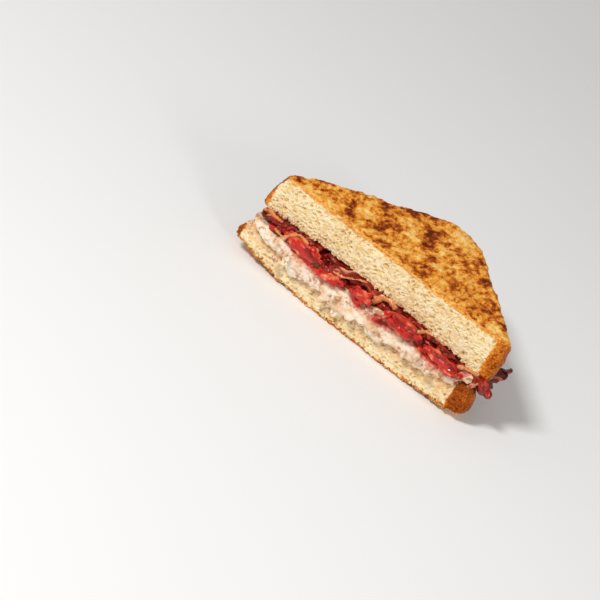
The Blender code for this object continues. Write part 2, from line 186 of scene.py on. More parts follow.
def keep(mesh: bpy.types.Mesh, name: str, values: np.ndarray) -> None:
    """Stores a number for each vertex, for the finishes and surface recipes to read."""
    layer = mesh.attributes.new(name, "FLOAT", "POINT")
    layer.data.foreach_set("value", values.astype(np.float32))


def settle(piece: bpy.types.Object) -> None:
    """Makes what the piece's modifiers give its own plain mesh."""
    graph = bpy.context.evaluated_depsgraph_get()
    made = bpy.data.meshes.new_from_object(
        piece.evaluated_get(graph), preserve_all_data_layers=True, depsgraph=graph
    )
    piece.modifiers.clear()
    piece.data = made


def new_piece(name: str, shape: bmesh.types.BMesh) -> bpy.types.Object:
    """An object made from a shape, which is used up.

    Args:
        name: The piece's name.
        shape: Its faces, at their places.

    Returns:
        The object, linked to the scene.
    """
    mesh = bpy.data.meshes.new(name)
    shape.to_mesh(mesh)
    shape.free()
    piece = bpy.data.objects.new(name, mesh)
    bpy.context.scene.collection.objects.link(piece)
    return piece


def solid_of(node: str) -> bmesh.types.BMesh:
    """A merged copy of the solid of a node, as a shape."""
    shape = bmesh.new()
    shape.from_mesh(frame["nodes"][node].data)
    bmesh.ops.remove_doubles(shape, verts=shape.verts, dist=0.01 * MM)
    return shape


def add_ball(
    shape: bmesh.types.BMesh, centre: Sequence[float], radii: Sequence[float], turn: float = 0.0
) -> None:
    """Adds a lump to a shape.

    Args:
        shape: What it joins.
        centre: Its middle, in world metres.
        radii: Its half sizes along x, y and z before the turn.
        turn: Its turn about z, in radians.
    """
    matrix = (
        Matrix.Translation(Vector(centre)) @ Matrix.Rotation(turn, 4, "Z") @ Matrix.Diagonal((*radii, 1.0))
    )
    bmesh.ops.create_icosphere(shape, subdivisions=2, radius=1.0, matrix=matrix)


def edge_spots(shape: bmesh.types.BMesh, steepest: float, end: float) -> list[tuple[Vector, Vector]]:
    """The places and directions round a layer's upright edge.

    Args:
        shape: The layer.
        steepest: The most that a place there may face up or down.
        end: How far out along x the places may lie, in metres.

    Returns:
        Each place with the direction that it faces.
    """
    shape.normal_update()
    edge = [vert for vert in shape.verts if abs(vert.normal.z) < steepest and abs(vert.co.x) < end]
    return [(vert.co.copy(), vert.normal.copy()) for vert in edge]


def fuse(piece: bpy.types.Object, voxel: float, smoothing: int) -> None:
    """Joins a piece's overlapping lumps into one even skin.

    Args:
        piece: The piece, whose mesh may hold many closed lumps.
        voxel: The size of the new faces, in metres.
        smoothing: How many times the skin is evened out.
    """
    remesh = piece.modifiers.new("fuse", "REMESH")
    remesh.mode = "VOXEL"
    remesh.voxel_size = voxel
    remesh.use_smooth_shade = True
    even = piece.modifiers.new("even", "SMOOTH")
    even.factor = 0.5
    even.iterations = smoothing
    settle(piece)


# Node trees


class Cloud(NamedTuple):
    """A layer of cloudy noise: its size in metres, which noise, its detail and how much it counts."""

    size: float
    seed: float
    detail: float
    share: float


class Graph:
    """A node tree that is being built, for a finish or for a surface recipe."""

    def __init__(self, tree: bpy.types.NodeTree) -> None:
        """Starts on a tree."""
        self.tree = tree

    def feed(self, socket: bpy.types.NodeSocket, value: object) -> None:
        """Links a socket to another one, or sets its own value."""
        if isinstance(value, bpy.types.NodeSocket):
            self.tree.links.new(value, socket)
        else:
            socket.default_value = value

    def add(self, kind: str, inputs: dict | None = None, **settings: object) -> bpy.types.Node:
        """Adds a node.

        Args:
            kind: The node's type.
            inputs: Values or sockets for its inputs, by name or number.
            **settings: Its other settings.

        Returns:
            The node.
        """
        node = self.tree.nodes.new(kind)
        for name, value in settings.items():
            setattr(node, name, value)
        for name, value in (inputs or {}).items():
            self.feed(node.inputs[name], value)
        return node

    def math(self, operation: str, first: object, second: object = 0.0, third: object = 0.0) -> object:
        """The result of one sum on numbers."""
        return self.add("ShaderNodeMath", {0: first, 1: second, 2: third}, operation=operation).outputs[0]

    def times(self, first: object, second: object) -> object:
        """The product of two numbers."""
        return self.math("MULTIPLY", first, second)

    def added(self, value: object, share: object, base: object) -> object:
        """A share of a number, added to a base."""
        return self.math("MULTIPLY_ADD", value, share, base)

    def vector(self, operation: str, first: object, second: object) -> object:
        """The result of one sum on vectors."""
        return self.add("ShaderNodeVectorMath", {0: first, 1: second}, operation=operation).outputs[0]

    def scaled(self, way: object, length: object) -> object:
        """A vector made longer or shorter."""
        return self.add("ShaderNodeVectorMath", {0: way, "Scale": length}, operation="SCALE").outputs[0]

    def eased(self, value: object, low: float, high: float) -> object:
        """0 at low, 1 at high, and an even curve between."""
        node = self.add(
            "ShaderNodeMapRange",
            {"Value": value, "From Min": low, "From Max": high},
            interpolation_type="SMOOTHSTEP",
        )
        return node.outputs[0]

    def noise(self, where: object, size: float, seed: float = 0.0, detail: float = 2.0) -> object:
        """Cloudy noise from 0 to 1.

        Args:
            where: The place that it reads.
            size: Its features' size in the place's own units.
            seed: Which noise.
            detail: How many finer layers it has.

        Returns:
            The noise's socket.
        """
        node = self.add(
            "ShaderNodeTexNoise",
            {"Vector": where, "W": seed, "Scale": 1 / size, "Detail": detail},
            noise_dimensions="4D",
        )
        return node.outputs[0]

    def swing(self, where: object, size: float, seed: float = 0.0, detail: float = 2.0) -> object:
        """Cloudy noise about 0, from about -0.5 to 0.5, given as for noise."""
        return self.math("SUBTRACT", self.noise(where, size, seed, detail), 0.5)

    def clouded(self, where: object, cloud: Cloud, base: object) -> object:
        """A number with a layer of cloudy noise added."""
        return self.added(self.swing(where, cloud.size, cloud.seed, cloud.detail), cloud.share, base)

    def cells(self, where: object, size: float, seed: float = 0.0, feature: str = "F1") -> bpy.types.Node:
        """A cell pattern, as its node: outputs Distance, in cell sizes, and Color."""
        return self.add(
            "ShaderNodeTexVoronoi",
            {"Vector": where, "W": seed, "Scale": 1 / size},
            voronoi_dimensions="4D",
            feature=feature,
        )

    def mix(self, share: object, first: object, second: object) -> object:
        """A colour between two."""
        node = self.add("ShaderNodeMix", {0: share}, data_type="RGBA")
        for socket, value in ((node.inputs[6], first), (node.inputs[7], second)):
            self.feed(socket, (*value, 1.0) if isinstance(value, tuple) else value)
        return node.outputs[2]

    def ramp(self, value: object, stops: Iterable[tuple[float, Colour]]) -> object:
        """A colour read from a row of (place, colour) stops."""
        node = self.add("ShaderNodeValToRGB", {0: value})
        row = node.color_ramp.elements
        for index, (place, colour) in enumerate(stops):
            stop = row[index] if index < 2 else row.new(place)
            stop.position = place
            stop.color = (*colour, 1.0)
        return node.outputs[0]


class Recipe(Graph):
    """A Geometry Nodes tree that reworks or scatters over a piece, with named sizes."""

    def __init__(self, name: str, sizes: Iterable[str]) -> None:
        """Starts a tree with a mesh input, a number input for each size, and a mesh output."""
        super().__init__(bpy.data.node_groups.new(name, "GeometryNodeTree"))
        face = self.tree.interface
        face.new_socket("Mesh", in_out="INPUT", socket_type="NodeSocketGeometry")
        face.new_socket("Mesh", in_out="OUTPUT", socket_type="NodeSocketGeometry")
        self.ids = {
            size: face.new_socket(size, in_out="INPUT", socket_type="NodeSocketFloat").identifier
            for size in sizes
        }
        self.start = self.tree.nodes.new("NodeGroupInput")
        self.end = self.tree.nodes.new("NodeGroupOutput")
        self.place = self.add("GeometryNodeInputPosition").outputs[0]
        self.facing = self.add("GeometryNodeInputNormal").outputs[0]

    def size(self, name: str) -> bpy.types.NodeSocket:
        """The socket of one named size."""
        return self.start.outputs[name]

    def kept(self, name: str) -> bpy.types.NodeSocket:
        """The socket of a number stored on the mesh."""
        return self.add("GeometryNodeInputNamedAttribute", {"Name": name}, data_type="FLOAT").outputs[0]

    def store(self, mesh: bpy.types.NodeSocket, name: str, value: object) -> bpy.types.NodeSocket:
        """Stores a number on the mesh and gives the mesh on."""
        node = self.add("GeometryNodeStoreNamedAttribute", {"Geometry": mesh, "Name": name, "Value": value})
        return node.outputs[0]

    def push(self, mesh: bpy.types.NodeSocket, offset: object) -> bpy.types.NodeSocket:
        """Moves the mesh's points and gives the mesh on."""
        return self.add("GeometryNodeSetPosition", {"Geometry": mesh, "Offset": offset}).outputs[0]

    def finish(self, mesh: bpy.types.NodeSocket, material: bpy.types.Material) -> None:
        """Ends the tree: instances made real, and the material set."""
        real = self.add("GeometryNodeRealizeInstances", {"Geometry": mesh}).outputs[0]
        dressed = self.add("GeometryNodeSetMaterial", {"Geometry": real, "Material": material}).outputs[0]
        self.feed(self.end.inputs[0], dressed)

    def run(self, piece: bpy.types.Object, **sizes: float) -> None:
        """Runs the recipe on a piece and keeps the result as its plain mesh."""
        modifier = piece.modifiers.new(self.tree.name, "NODES")
        modifier.node_group = self.tree
        for name, value in sizes.items():
            modifier[self.ids[name]] = value
        settle(piece)


# Finishes


class Finish(Graph):
    """A finish under construction: a material with one Principled shader."""

    def __init__(self, name: str) -> None:
        """Starts a material and finds its shader."""
        self.material = bpy.data.materials.new(name)
        self.material.use_nodes = True
        super().__init__(self.material.node_tree)
        self.shader = self.tree.nodes["Principled BSDF"]
        self.place = self.add("ShaderNodeTexCoord").outputs["Object"]

    def kept(self, name: str) -> bpy.types.NodeSocket:
        """The socket of a number stored on the mesh."""
        return self.add("ShaderNodeAttribute", attribute_name=name).outputs["Fac"]

    def set(self, **values: object) -> None:
        """Sets the shader's sockets, named with _ for spaces."""
        for name, value in values.items():
            self.feed(self.shader.inputs[name.replace("_", " ")], value)

    def bump(self, height: object, depth: float, strength: float = 1.0) -> None:
        """Gives the shader fine relief from a height of 0 to 1 that stands for depth metres."""
        node = self.add("ShaderNodeBump", {"Height": height, "Distance": depth, "Strength": strength})
        self.feed(self.shader.inputs["Normal"], node.outputs[0])
        self.feed(self.shader.inputs["Coat Normal"], node.outputs[0])


@dataclass(frozen=True)
class BreadFinish:
    """Fried bread: toast on the fried face, pale open crumb on the cut, brown crust round the side."""

    crumb_light: Colour = srgb(249, 232, 191)
    # The darker crumb colour: painted shade in the pores and pits, and random darker patches.
    crumb_dark_and_pore_shade: Colour = srgb(206, 152, 76)
    crumb_yellow: Colour = srgb(228, 186, 98)
    # A warm tan near the fillings: partly their stain, partly painted warm shade under their overhang.
    soaked_and_shaded: Colour = srgb(226, 150, 86)
    sponge_size: float = 1.55 * MM
    crust: tuple[tuple[float, Colour], ...] = (
        (0.12, srgb(106, 44, 16)),
        (0.42, srgb(146, 70, 30)),
        (0.68, srgb(180, 98, 44)),
        (0.90, srgb(210, 134, 62)),
    )
    rim: tuple[tuple[float, Colour], ...] = (
        (0.18, srgb(128, 50, 6)),
        (0.42, srgb(186, 96, 22)),
        (0.62, srgb(226, 142, 46)),
        (0.90, srgb(244, 186, 96)),
    )
    toast: tuple[tuple[float, Colour], ...] = (
        (0.0, srgb(252, 214, 134)),
        (0.24, srgb(244, 184, 88)),
        (0.46, srgb(228, 146, 44)),
        (0.62, srgb(190, 98, 20)),
        (0.80, srgb(138, 54, 8)),
        (1.0, srgb(94, 32, 4)),
    )
    toast_drawn: float = 0.62
    toast_heat: float = 0.45
    toast_patches: Cloud = Cloud(9 * MM, 3.0, 2.0, 0.8)
    toast_mottles: Cloud = Cloud(2.6 * MM, 5.0, 6.0, 1.9)
    toast_flecks: Cloud = Cloud(0.75 * MM, 7.0, 2.0, 0.8)
    scorched: float = 0.40
    crumb_grain: Cloud = Cloud(0.9 * MM, 9.0, 2.0, 0.8)
    crust_tone: float = 0.36
    crust_clouds: Cloud = Cloud(10 * MM, 12.0, 3.0, 0.8)
    crust_grain: Cloud = Cloud(1.1 * MM, 13.0, 5.0, 1.3)

    def toast_colour(self, made: Finish) -> object:
        """The fried face's colour from its scorches and finer patches."""
        lie = made.vector("MULTIPLY", made.place, (1.0, self.toast_drawn, 1.0))
        heat = made.clouded(lie, self.toast_patches, self.toast_heat)
        heat = made.clouded(lie, self.toast_mottles, heat)
        heat = made.clouded(made.place, self.toast_flecks, heat)
        heat = made.added(made.kept("scorch"), self.scorched, heat)
        return made.ramp(heat, self.toast)

    def sponge(self, made: Finish) -> object:
        """0 on the walls between the crumb's small pores, 1 in the pores."""
        warp = made.add("ShaderNodeTexNoise", {"Vector": made.place, "Scale": 1 / (1.2 * MM)})
        swirl = made.scaled(made.vector("SUBTRACT", warp.outputs["Color"], (0.5, 0.5, 0.5)), 0.9 * MM)
        place = made.vector("ADD", made.place, swirl)
        wall = made.cells(place, self.sponge_size, 3.0, "DISTANCE_TO_EDGE").outputs["Distance"]
        deep = made.eased(made.noise(place, 1.6 * MM, 4.0, 1.0), 0.30, 0.62)
        return made.times(made.eased(wall, 0.02, 0.30), deep)

    def crumb_colour(self, made: Finish, pores: object) -> object:
        """The cut crumb's colour: darker inside its pores as painted shade and darker in random patches,
        stained by the fillings and given painted warm shade near them, browned at its rims.
        """
        cloud = made.swing(made.place, 9 * MM, 8.0, 2.0)
        mottle = made.swing(made.place, 2.8 * MM, 17.0, 3.0)
        # The pits and pores mix the crumb towards the darker colour as painted shade; the clouds and grain
        # vary it at random.
        depth = made.added(made.kept("pit"), 0.42, made.times(pores, 0.34))
        depth = made.added(cloud, 0.9, depth)
        depth = made.clouded(made.place, self.crumb_grain, depth)
        base = made.mix(made.eased(depth, -0.1, 1.0), self.crumb_light, self.crumb_dark_and_pore_shade)
        base = made.mix(made.times(made.eased(mottle, -0.04, 0.2), 0.6), base, self.crumb_yellow)
        patch = made.swing(made.place, 2.4 * MM, 10.0, 4.0)
        # Near the fillings the crumb is mixed towards the warm tan: a stain from them, and painted warm shade
        # where they overhang it.
        soaked_and_shaded = made.added(patch, 2.4, made.kept("soaked_and_shaded"))
        base = made.mix(made.times(made.eased(soaked_and_shaded, 0.0, 1.2), 0.6), base, self.soaked_and_shaded)
        tone = made.added(made.noise(made.place, 1.0 * MM, 14.0, 4.0), 0.9, 0.05)
        tone = made.added(cloud, 0.6, tone)
        tone = made.math("SUBTRACT", tone, made.kept("dark"))
        ragged = made.added(patch, 2.4, made.kept("browned"))
        return made.mix(made.eased(ragged, 0.30, 0.95), base, made.ramp(tone, self.rim))

    def crust_colour(self, made: Finish) -> object:
        """The crust's colour, fine-grained, and more golden at the tips."""
        tone = made.clouded(made.place, self.crust_clouds, self.crust_tone)
        tone = made.clouded(made.place, self.crust_grain, tone)
        tone = made.added(made.kept("browned"), 0.12, tone)
        return made.ramp(tone, self.crust)

    def make(self) -> bpy.types.Material:
        """Builds the material."""
        made = Finish("toasted_bread")
        crumb = made.kept("crumb")
        toast = made.kept("toast")
        wander = made.swing(made.place, 2.2 * MM, 21.0, 2.0)
        toasted = made.eased(made.added(wander, 0.7, toast), 0.28, 0.62)
        opened = made.eased(made.added(wander, 0.35, crumb), 0.38, 0.62)
        colour = made.mix(toasted, self.crust_colour(made), self.toast_colour(made))
        pores = self.sponge(made)
        colour = made.mix(opened, colour, self.crumb_colour(made, pores))
        fat = made.noise(made.place, 4 * MM, 30.0, 2.0)
        rough = made.added(fat, 0.3, 0.5)
        rough = made.math("MAXIMUM", rough, made.times(opened, 0.9))
        grain = made.noise(made.place, 0.6 * MM, 31.0, 3.0)
        hollow = made.times(made.times(pores, opened), -0.6)
        made.bump(made.math("ADD", grain, hollow), 0.25 * MM)
        made.set(Base_Color=colour, Roughness=rough, Specular_IOR_Level=0.15)
        return made.material


@dataclass(frozen=True)
class CurdFinish:
    """Soft white curd cheese, stained pink where the fillings have run, with random tan flecks and tan
    painted shade in the pits between its curds.
    """

    white: Colour = srgb(250, 234, 212)
    cream: Colour = srgb(230, 190, 148)
    pink: Colour = srgb(208, 120, 96)
    # Tan: random flecks, and painted shade in the pits between the curds.
    tan_and_pit_shade: Colour = srgb(186, 122, 78)

    def make(self) -> bpy.types.Material:
        """Builds the material."""
        made = Finish("soft_curd_cheese")
        cloud = made.noise(made.place, 7 * MM, 41.0, 3.0)
        fine = made.noise(made.place, 1.4 * MM, 42.0, 3.0)
        colour = made.mix(made.eased(cloud, 0.38, 0.7), self.white, self.cream)
        # The pits between the curds are mixed towards tan as painted shade; the fine noise adds random tan
        # flecks.
        deep = made.added(made.kept("pit"), 0.8, made.added(fine, 2.0, -1.15))
        colour = made.mix(made.times(made.eased(deep, 0.1, 0.75), 0.9), colour, self.tan_and_pit_shade)
        stain = made.added(made.kept("stain"), 0.75, made.times(fine, 0.5))
        colour = made.mix(made.eased(stain, 0.42, 1.0), colour, self.pink)
        made.bump(made.noise(made.place, 0.8 * MM, 44.0, 3.0), 0.30 * MM)
        made.set(Base_Color=colour, Roughness=0.45, Coat_Weight=0.15, Coat_Roughness=0.25)
        made.set(Subsurface_Weight=0.2, Subsurface_Radius=(1.0, 0.7, 0.5), Subsurface_Scale=1.0 * MM)
        return made.material


@dataclass(frozen=True)
class SyrupFinish:
    """Something wet and half clear, paler where it stands out as a painted highlight and deeper in its
    hollows as painted shade, with random clouds and streaks.
    """

    name: str
    pale: Colour
    bright: Colour
    deep: Colour
    glow: tuple[float, float, float] = (1.0, 0.10, 0.05)
    clouds: Cloud = Cloud(3.6 * MM, 51.0, 3.0, 1.5)
    streaks: Cloud = Cloud(1.2 * MM, 52.0, 2.0, 0.4)
    grain: float = 0.9 * MM

    def make(self) -> bpy.types.Material:
        """Builds the material."""
        made = Finish(self.name)
        lie = made.vector("MULTIPLY", made.place, (0.45, 1.0, 1.0))
        # The crest paints the colour paler on the skin's crests, a painted highlight, and deeper in its
        # hollows, painted shade; clouds and streaks vary it at random.
        tone = made.clouded(lie, self.clouds, made.added(made.kept("crest"), 0.8, 0.12))
        tone = made.clouded(lie, self.streaks, tone)
        stops = ((0.12, self.deep), (0.38, self.bright), (0.62, self.bright), (0.90, self.pale))
        made.bump(made.noise(made.place, self.grain, 53.0, 1.0), 0.30 * MM, 0.8)
        made.set(Base_Color=made.ramp(tone, stops), Roughness=0.3, Specular_IOR_Level=0.05)
        made.set(Subsurface_Weight=0.25, Subsurface_Radius=self.glow, Subsurface_Scale=1.4 * MM)
        made.set(Coat_Weight=1.0, Coat_IOR=1.45, Coat_Roughness=0.04)
        return made.material


@dataclass(frozen=True)
class BaconFinish:
    """Fried bacon: dark red lean streaked with amber fat, greasy all over."""

    lean_dark: Colour = srgb(78, 10, 6)
    lean_mid: Colour = srgb(140, 26, 16)
    lean_light: Colour = srgb(190, 74, 50)
    fat_amber: Colour = srgb(198, 100, 52)
    fat_pale: Colour = srgb(244, 190, 150)

    def make(self) -> bpy.types.Material:
        """Builds the material."""
        made = Finish("fried_bacon")
        along = made.kept("along")
        across = made.kept("across")
        lie = made.add("ShaderNodeCombineXYZ", {0: made.times(along, 0.25), 1: across}).outputs[0]
        streaks = made.added(made.kept("rind"), 0.16, made.noise(lie, 3.2 * MM, 61.0, 2.0))
        fat = made.times(made.eased(streaks, 0.61, 0.69), 0.85)
        fine = made.swing(lie, 1.5 * MM, 63.0, 4.0)
        # The crest paints the lean and fat lighter where the strip stands out, a painted highlight, and
        # darker in its folds, painted shade; the fine noise varies it at random.
        tone = made.added(made.kept("crest"), 0.8, made.added(fine, 1.4, 0.08))
        # A strip's own darkening is painted shade, for a strip that lies in shadow.
        tone = made.math("SUBTRACT", tone, made.kept("shade_darkening"))
        lean = made.ramp(tone, ((0.20, self.lean_dark), (0.50, self.lean_mid), (0.85, self.lean_light)))
        amber = made.ramp(tone, ((0.20, self.fat_amber), (0.75, self.fat_pale)))
        made.bump(made.noise(lie, 0.8 * MM, 65.0, 3.0), 0.30 * MM, 0.8)
        made.set(Base_Color=made.mix(fat, lean, amber), Roughness=0.32, Specular_IOR_Level=0.10)
        made.set(Subsurface_Weight=0.15, Subsurface_Radius=(1.0, 0.35, 0.2), Subsurface_Scale=1.2 * MM)
        made.set(Coat_Weight=0.7, Coat_IOR=1.45, Coat_Roughness=0.12)
        return made.material


@dataclass(frozen=True)
class PlainFinish:
    """One colour with a little variation, for crumbs, specks and the floor."""

    name: str
    light: Colour
    dark: Colour
    patch: float
    roughness: float

    def make(self) -> bpy.types.Material:
        """Builds the material."""
        made = Finish(self.name)
        cloud = made.noise(made.place, self.patch, 71.0, 2.0)
        made.set(Base_Color=made.mix(made.eased(cloud, 0.4, 0.6), self.light, self.dark))
        made.set(Roughness=self.roughness)
        return made.material


# The bread


class Fried(Enum):
    """Which face of a slice was fried: the sign of its direction along z."""

    UPPER = 1
    UNDER = -1


class Scorch(NamedTuple):
    """A browner or, if heat is under 0, paler patch on the toast, in mm from the middle of the cut."""

    x: float
    y: float
    half_x: float
    half_y: float
    heat: float


SCORCHES = (
    Scorch(-10.8, 61, 5, 3.5, 1.0),
    Scorch(-16.8, 54, 7, 3.5, 1.0),
    Scorch(-3.8, 51, 8, 2.8, 0.9),
    Scorch(2.2, 45, 3.2, 5, 1.0),
    Scorch(6.2, 37, 2.8, 4.5, 1.0),
    Scorch(-14.8, 32, 3.5, 7, 1.0),
    Scorch(-20.8, 38, 5, 2.8, 0.8),
    Scorch(-29.8, 15, 3, 3.5, 1.0),
    Scorch(-32.8, 23, 2.5, 3, 0.8),
    Scorch(-33.8, 44, 7, 3, 0.8),
    Scorch(-23.8, 46, 4, 3, 0.7),
    Scorch(-50.8, 25, 3, 5, 0.8),
    Scorch(-58.8, 13, 3, 5, 0.9),
    Scorch(30.2, 26, 3, 5, 0.9),
    Scorch(31.2, 19, 3, 3, 0.7),
    Scorch(16.2, 49, 5, 3, 0.8),
    Scorch(24.2, 45, 3.5, 3, 0.8),
    Scorch(29.2, 53, 5, 3.5, 0.9),
    Scorch(38.2, 45, 6, 3.5, 1.0),
    Scorch(30.2, 41, 7, 2, 0.6),
    Scorch(5.2, 58, 5, 1.8, 0.5),
    Scorch(7.2, 13, 5, 3, 0.7),
    Scorch(14.2, 17, 3.5, 3, 0.7),
    Scorch(-5.8, 13, 3.5, 2.5, 0.6),
    Scorch(-14.8, 6, 5, 2, 0.6),
    Scorch(46.2, 16, 2.5, 3.5, 0.7),
    Scorch(52.2, 29, 4, 3, 0.7),
    Scorch(60.2, 20, 3, 3, 0.6),
    Scorch(-4.8, 26, 3, 2.5, 0.5),
    Scorch(11.2, 31, 3, 2, 0.5),
    Scorch(14.2, 63, 9, 6, -0.7),
    Scorch(-2.8, 33, 4, 7, -0.9),
    Scorch(-25.8, 26, 4, 5, -0.8),
    Scorch(-9.8, 43, 5, 4.5, -0.7),
    Scorch(-45.8, 9, 7, 4, -0.6),
    Scorch(17.2, 25, 7, 4, -0.5),
    Scorch(37.2, 33, 5, 2.5, -0.5),
    Scorch(65.2, 11, 5, 3.5, -0.5),
    Scorch(35.2, 8, 6, 3.5, -0.5),
    Scorch(16.2, 37, 6, 4, -0.3),
)


@dataclass
class BreadSlice:
    """One slice of bread: its fried face, its crust, and its crumb on the cut."""

    node: str
    name: str
    fried: Fried
    seed: float
    voxel: float = 0.58 * MM
    smoothing: int = 4
    cut_reach: float = 1.5 * MM
    pore: float = 2.3 * MM
    pore_depth: float = 1.0 * MM
    hole: float = 4.4 * MM
    hole_depth: float = 1.1 * MM
    ragged: float = 2.0 * MM
    tuft: float = 0.9 * MM
    toast_relief: float = 0.9 * MM
    crust_relief: float = 0.4 * MM
    swell: float = 2.6 * MM
    pressed: float = 0.7 * MM
    rim: float = 2.6 * MM
    left_end: float = 5.5 * MM
    right_end: float = 12 * MM
    end_fade: float = 3.5 * MM
    # How far from the fillings the stain and the painted warm shade reach.
    soak_and_shade_reach: float = 12 * MM
    fringe: float = 2.4 * MM
    end_dark: float = 0.24
    rim_dark: float = 0.0

    def surface(self, material: bpy.types.Material) -> Recipe:
        """The recipe that opens the crumb's pores and roughens the toast and the crust."""
        names = ("Pore", "Hole", "Ragged", "Tuft", "Toast", "Crust", "Swell", "Seed")
        made = Recipe(f"{self.name}_surface", names)
        crumb = made.kept("crumb")
        toast = made.kept("toast")
        seed = made.size("Seed")
        warp = made.add(
            "ShaderNodeTexNoise",
            {"Vector": made.place, "W": seed, "Scale": 1 / (1.6 * MM)},
            noise_dimensions="4D",
        )
        swirl = made.scaled(made.vector("SUBTRACT", warp.outputs["Color"], (0.5, 0.5, 0.5)), 1.1 * MM)
        place = made.vector("ADD", made.place, swirl)
        wall = made.cells(place, self.pore, 0.0, "DISTANCE_TO_EDGE")
        made.feed(wall.inputs["W"], seed)
        deep = made.eased(made.noise(place, 2.2 * MM, 1.0, 1.0), 0.28, 0.66)
        pore = made.times(made.eased(wall.outputs["Distance"], 0.03, 0.30), deep)
        cell = made.cells(place, self.hole)
        made.feed(cell.inputs["W"], seed)
        chance = made.add("FunctionNodeSeparateColor", {0: cell.outputs["Color"]}).outputs[0]
        reach = made.added(made.math("POWER", chance, 3.0), 0.40, 0.04)
        near = made.math("SUBTRACT", 1.0, made.math("DIVIDE", cell.outputs["Distance"], reach))
        hole = made.math("SQRT", made.math("MAXIMUM", near, 0.0))
        drop = made.times(pore, made.size("Pore"))
        drop = made.times(made.added(hole, made.size("Hole"), drop), crumb)
        cloud = made.swing(made.place, 4.5 * MM, 2.0, 3.0)
        knobs = made.swing(made.place, 1.5 * MM, 4.0, 2.0)
        fried = made.times(made.added(knobs, 0.7, cloud), toast)
        rise = made.times(fried, made.times(made.size("Toast"), 2.0))
        grain = made.swing(made.place, 0.9 * MM, 6.0, 2.0)
        crust = made.math("SUBTRACT", 1.0, made.math("MAXIMUM", crumb, toast))
        rise = made.added(made.times(grain, crust), made.size("Crust"), rise)
        tufts = made.added(made.noise(place, 1.7 * MM, 11.0, 3.0), 2.0, -0.85)
        ragged = made.times(made.times(tufts, made.kept("edge")), made.size("Ragged"))
        sag = made.times(made.times(cloud, crumb), 0.5 * MM)
        rise = made.math("ADD", made.math("ADD", rise, ragged), made.math("SUBTRACT", sag, drop))
        fluff = made.times(made.swing(place, 1.2 * MM, 13.0, 2.0), crumb)
        rise = made.added(fluff, made.size("Tuft"), rise)
        hump = made.swing(made.place, 7 * MM, 15.0, 2.0)
        hump = made.times(hump, made.math("SUBTRACT", 1.0, crumb))
        rise = made.added(hump, made.size("Swell"), rise)
        # pit: how deep the pores and holes go, which the finish paints darker as shade.
        mesh = made.store(made.start.outputs[0], "pit", made.math("MAXIMUM", pore, hole))
        mesh = made.push(mesh, made.scaled(made.facing, rise))
        made.finish(mesh, material)
        return made

    def refine_cut(self, piece: bpy.types.Object) -> None:
        """Splits the faces of the cut finer, so that its pores are real."""
        shape = bmesh.new()
        shape.from_mesh(piece.data)
        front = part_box(self.node)[0][1] + self.cut_reach
        faces = [face for face in shape.faces if face.normal.y < -0.5 and face.calc_center_median().y < front]
        edges = list({edge for face in faces for edge in face.edges})
        bmesh.ops.subdivide_edges(shape, edges=edges, cuts=1, use_grid_fill=True)
        shape.to_mesh(piece.data)
        shape.free()

    def mark(self, mesh: bpy.types.Mesh) -> None:
        """Stores where the slice is crumb, toast and scorched."""
        points = points_of(mesh)
        facing = normals_of(mesh)
        place = from_cut(points)
        front = from_cut(np.array([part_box(self.node)[0]]))[0, 1]
        on_cut = eased(-facing[:, 1], 0.35, 0.7) * eased(place[:, 1] - front, 2.6 * MM, 1.4 * MM)
        towards = facing[:, 2] * self.fried.value
        toast = eased(towards, 0.30, 0.8) * (1 - on_cut)
        crumb = np.maximum(on_cut, eased(-towards, 0.30, 0.8))
        if self.fried is Fried.UPPER:
            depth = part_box(self.node)[1][2] - 0.7 * MM - place[:, 2]
        else:
            depth = place[:, 2] - tip_lift(place[:, 0])
        browned = eased(depth, self.rim, 0.3 * MM)
        first, last = (corner[0] - CUT_MIDDLE_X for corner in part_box(self.node))
        right = eased(place[:, 0], last - self.right_end, last - self.right_end + self.end_fade)
        left = eased(place[:, 0], first + self.left_end, first + self.left_end - self.end_fade)
        ends = np.maximum(right, left)
        near_cut = eased(place[:, 1] - front, 3.6 * MM, 2.0 * MM)
        inner = np.abs(place[:, 2] - self.filling_edge(place, front))
        # How near each place is to the fillings' edge, for their stain and for painted warm shade.
        keep(mesh, "soaked_and_shaded", near_cut * (1 - ends) * eased(inner, self.soak_and_shade_reach, 0.2 * MM))
        keep(mesh, "fringe", near_cut * (1 - ends) * eased(inner, self.fringe, 0.2 * MM))
        keep(mesh, "edge", near_cut * (0.25 + 0.75 * eased(np.abs(facing[:, 2]), 0.12, 0.6)))
        keep(mesh, "crumb", crumb)
        keep(mesh, "toast", toast)
        keep(mesh, "rim", browned * near_cut * (1 - ends))
        keep(mesh, "browned", np.maximum(browned, ends * 1.9))
        keep(mesh, "dark", ends * self.end_dark + self.rim_dark)
        keep(mesh, "scorch", self.scorching(place))

    def sag(self, mesh: bpy.types.Mesh) -> None:
        """Presses the crumb at the cut onto the fillings, so that no gap is left along them."""
        points = points_of(mesh)
        place = from_cut(points)
        front = from_cut(np.array([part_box(self.node)[0]]))[0, 1]
        near = eased(place[:, 1] - front, 5 * MM, 2 * MM)
        near *= eased(np.abs(place[:, 2] - self.filling_edge(place, front)), 4 * MM, 0.5 * MM)
        points[:, 2] -= self.fried.value * self.pressed * near
        move_points(mesh, points)

    def filling_edge(self, place: np.ndarray, front: float) -> np.ndarray:
        """The height at each place of the cut's edge on the fillings' side."""
        bins = np.round(place[:, 0] / (2 * MM)).astype(int)
        bins -= bins.min()
        heights = np.full(bins.max() + 1, -1.0)
        at_cut = place[:, 1] < front + 2 * MM
        np.maximum.at(heights, bins[at_cut], -self.fried.value * place[at_cut, 2] + 1)
        return -self.fried.value * (heights[bins] - 1)

